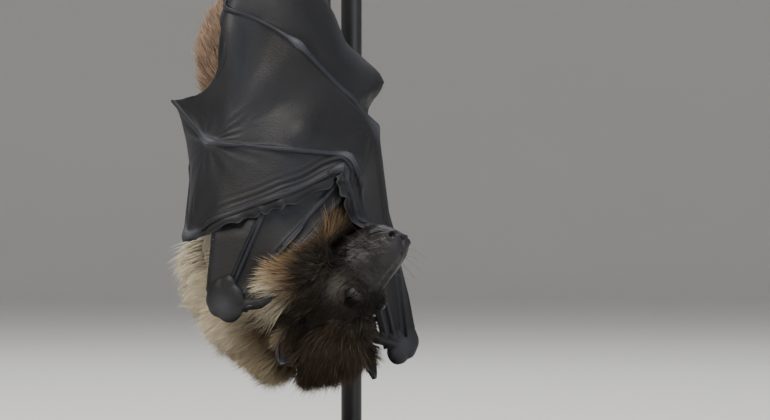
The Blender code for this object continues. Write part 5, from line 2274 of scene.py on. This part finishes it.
@dataclass
class Bat:
    """The animal: wings, arms, head, coat, feet and claws."""

    covers: list[Shape] = field(default_factory=list)

    def wings(self) -> None:
        """Stretch the left wing over the body, then the right wing over both."""
        skin = WING_SKIN.material()
        claw = CLAW.material()
        under = cad_shape("neck", "trunk", "leg_left", "leg_right")
        for wing in (LEFT_WING, RIGHT_WING):
            envelope = Envelope(under, evening=wing.evening)
            wing.run_bones(envelope)
            sheet = wing.stretched(envelope)
            nodes = [f"{kind}_{wing.side}" for kind in (
                "membrane_arm", "membrane_54", "membrane_43", "digit_3", "digit_4", "digit_5")]
            place(f"wing_{wing.side}", sheet, skin, "wing_skin", nodes)
            arm = ArmSkin(wing)
            flesh = arm.shape()
            nodes = [f"{kind}_{wing.side}" for kind in ("forearm", "wrist", "thumb")]
            place(f"arm_{wing.side}", flesh, skin, "wing_skin", nodes)
            place(f"thumb_horn_{wing.side}", ThumbClaw(arm).shape(), claw, "claw",
                  [f"thumb_claw_{wing.side}"])
            self.covers.append(sheet)
            under = under.joined(sheet).joined(flesh)
        web = ArmWeb(RIGHT_WING).shape(Envelope(cad_shape("head", "neck", "trunk")))
        place("arm_web_right", web, skin, "wing_skin")
        place("wing_fold_right", FoldedEdge(RIGHT_WING).shape(), skin, "wing_skin")

    def head(self) -> None:
        """Place face, ears, eyes and whiskers."""
        face = FACE.shape()
        place("face", face, FACE_SKIN.material(), "ear_skin", ["head"])
        bare, eye = FACE_SKIN.material(), EYE.material()
        for ear in EARS:
            place(f"ear_leaf_{ear.side}", ear.shape(), bare, "ear_skin", [f"ear_{ear.side}"])
            place(f"eyeball_{ear.side}", Eyeball(ear.side).shape(), eye, "eye", [f"eye_{ear.side}"])
        place("whiskers", Whiskers().shape(tree_of(face)), WHISKER.material(), "fur")

    @staticmethod
    def feet() -> None:
        """Place the feet and their claws."""
        skin, claw = FACE_SKIN.material(), CLAW.material()
        for side in ("left", "right"):
            foot = Foot(side)
            place(f"toes_{side}", foot.shape(), skin, "ear_skin", [f"foot_{side}"])
            nodes = [f"claw_{side}_{k}" for k in range(1, 6)]
            place(f"toe_horns_{side}", foot.claws(), claw, "claw", nodes)

    def body(self) -> None:
        """Place the underlying skin and grow the coat on it and on the face."""
        skin = Body().shape()
        place("body_skin", skin, BODY_SKIN.material(), "fur",
              ["neck", "trunk", "leg_left", "leg_right"])
        fur = FUR.material()
        grounds = {Lie.FACE: FACE.shape(), Lie.EAR: EARS[0].shape().joined(EARS[1].shape())}
        cover = tree_of(*self.covers)
        for piece in COAT:
            ground = grounds.get(piece.lie, skin)
            shape = piece.grow(ground, cover)
            if shape is None:
                continue
            mesh = to_mesh(piece.name, shape)
            piece.mapped(mesh)
            place(piece.name, mesh, fur, "fur")


def on_face(points: Array, local: Array) -> Array:
    """Where the very short hair of the face grows.

    Args:
        points: not used.
        local: their head measures.

    Returns:
        N shares of full density.
    """
    along, side, up = local.T
    bald = ease(33.0, 25.0, along)
    eyes = length_of(np.stack([along - 19.5, np.abs(side) - 10.0, up - 8.0], 1))
    return bald * ease(2, 8, along) * (eyes > 3.4)


def on_crown(points: Array, local: Array) -> Array:
    """The crown and brow."""
    return (local[:, 0] > -28) * (local[:, 0] < 17) * (local[:, 2] > 6)


def on_cheek(points: Array, local: Array) -> Array:
    """Cheeks, ruff and throat, all round the jaw."""
    out = np.hypot(local[:, 1], local[:, 2])
    return (local[:, 0] > -24) * (local[:, 2] <= 6) * (out < 38) * (points[:, 2] < 112)


def on_ruff(points: Array, local: Array) -> Array:
    """The fluffy ruff beside the jaw, over the edge of the folded hand.

    Args:
        points: not used.
        local: their head measures.

    Returns:
        N shares of full density.
    """
    along, side, up = local.T
    far = np.hypot(side, np.minimum(0, up + 2))
    aside = ease(18, 23, far) * ease(40, 34, far) * (1 - 0.6 * (side < 0)) * (np.abs(side) > 6)
    return aside * (along > -8) * (along < 32) * (up < 2) * (up > -30)


def on_ear(points: Array, local: Array) -> Array:
    """The furred base of both ears.

    Args:
        points: N by 3 places.
        local: their head measures.

    Returns:
        N shares of full density.
    """
    share = np.zeros(len(points))
    for ear in EARS:
        hand = hand_of(ear.side)
        root, tip = np.array(ear.root) * (1, hand, 1), np.array(ear.tip) * (1, hand, 1)
        rise = (local - root) @ (tip - root) / np.sum((tip - root) ** 2)
        share = np.where(np.sign(local[:, 1]) == hand, rise, share)
    return ease(0.6, 0.3, share)


def on_mantle_front(points: Array, local: Array) -> Array:
    """The mantle's front, towards the snout's side."""
    return (local[:, 0] <= -22) * (points[:, 2] < 122) * (points[:, 1] < 10)


def on_mantle_back(points: Array, local: Array) -> Array:
    """The mantle over nape and shoulders."""
    return (local[:, 0] <= -22) * (points[:, 2] < 122) * (points[:, 1] >= 10)


def on_trunk(points: Array, local: Array) -> Array:
    """Back and belly."""
    return (points[:, 2] >= 110) * (points[:, 2] < 186)


def on_rump(points: Array, local: Array) -> Array:
    """Rump and thighs."""
    return (points[:, 2] >= 176) * (points[:, 2] < 252)


COAT = (
    CoatPiece("coat_face", Lie.FACE, 38000, (1.0, 4.2), 0.19, (0.15, 0.6), 101, on_face),
    CoatPiece("coat_crown", Lie.HEAD, 38000, (5.0, 11.5), 0.22, (0.35, 1.10), 102, on_crown),
    CoatPiece("coat_cheek", Lie.HEAD, 38000, (5.0, 11.5), 0.24, (0.35, 1.15), 107, on_cheek),
    CoatPiece("coat_ruff", Lie.RUFF, 26000, (9.0, 14.0), 0.24, (0.6, 1.25), 108, on_ruff),
    CoatPiece("coat_ears", Lie.EAR, 5000, (4.0, 6.5), 0.2, (0.2, 0.8), 109, on_ear),
    CoatPiece("coat_mantle_front", Lie.MANTLE, 38000, (9, 11.5), 0.28, (0.35, 1.0), 103, on_mantle_front),
    CoatPiece("coat_mantle_back", Lie.MANTLE, 31000, (9, 11.5), 0.28, (0.35, 1.0), 104, on_mantle_back),
    CoatPiece("coat_trunk", Lie.TRUNK, 27000, (6, 8), 0.31, (0.15, 0.6), 105, on_trunk),
    CoatPiece("coat_rump", Lie.LEG, 28000, (2.5, 6.5), 0.25, (0.12, 0.6), 106, on_rump),
)


def main() -> None:
    """Build the bat, its perch and stand, and the studio."""
    logging.basicConfig(level=logging.INFO, format="%(message)s")
    bat = Bat()
    bat.wings()
    bat.head()
    bat.feet()
    bat.body()
    perch = Perch()
    bark = to_mesh("perch", perch.shape())
    finish = BARK.material()
    flakes = perch.flakes(bark, finish)
    place("perch_bark", bark, finish, "bark", ["perch_branch"])
    place("bark_flakes", flakes, finish, "bark")
    Stand().build()
    Studio().build()


if __name__ == "__main__":
    main()
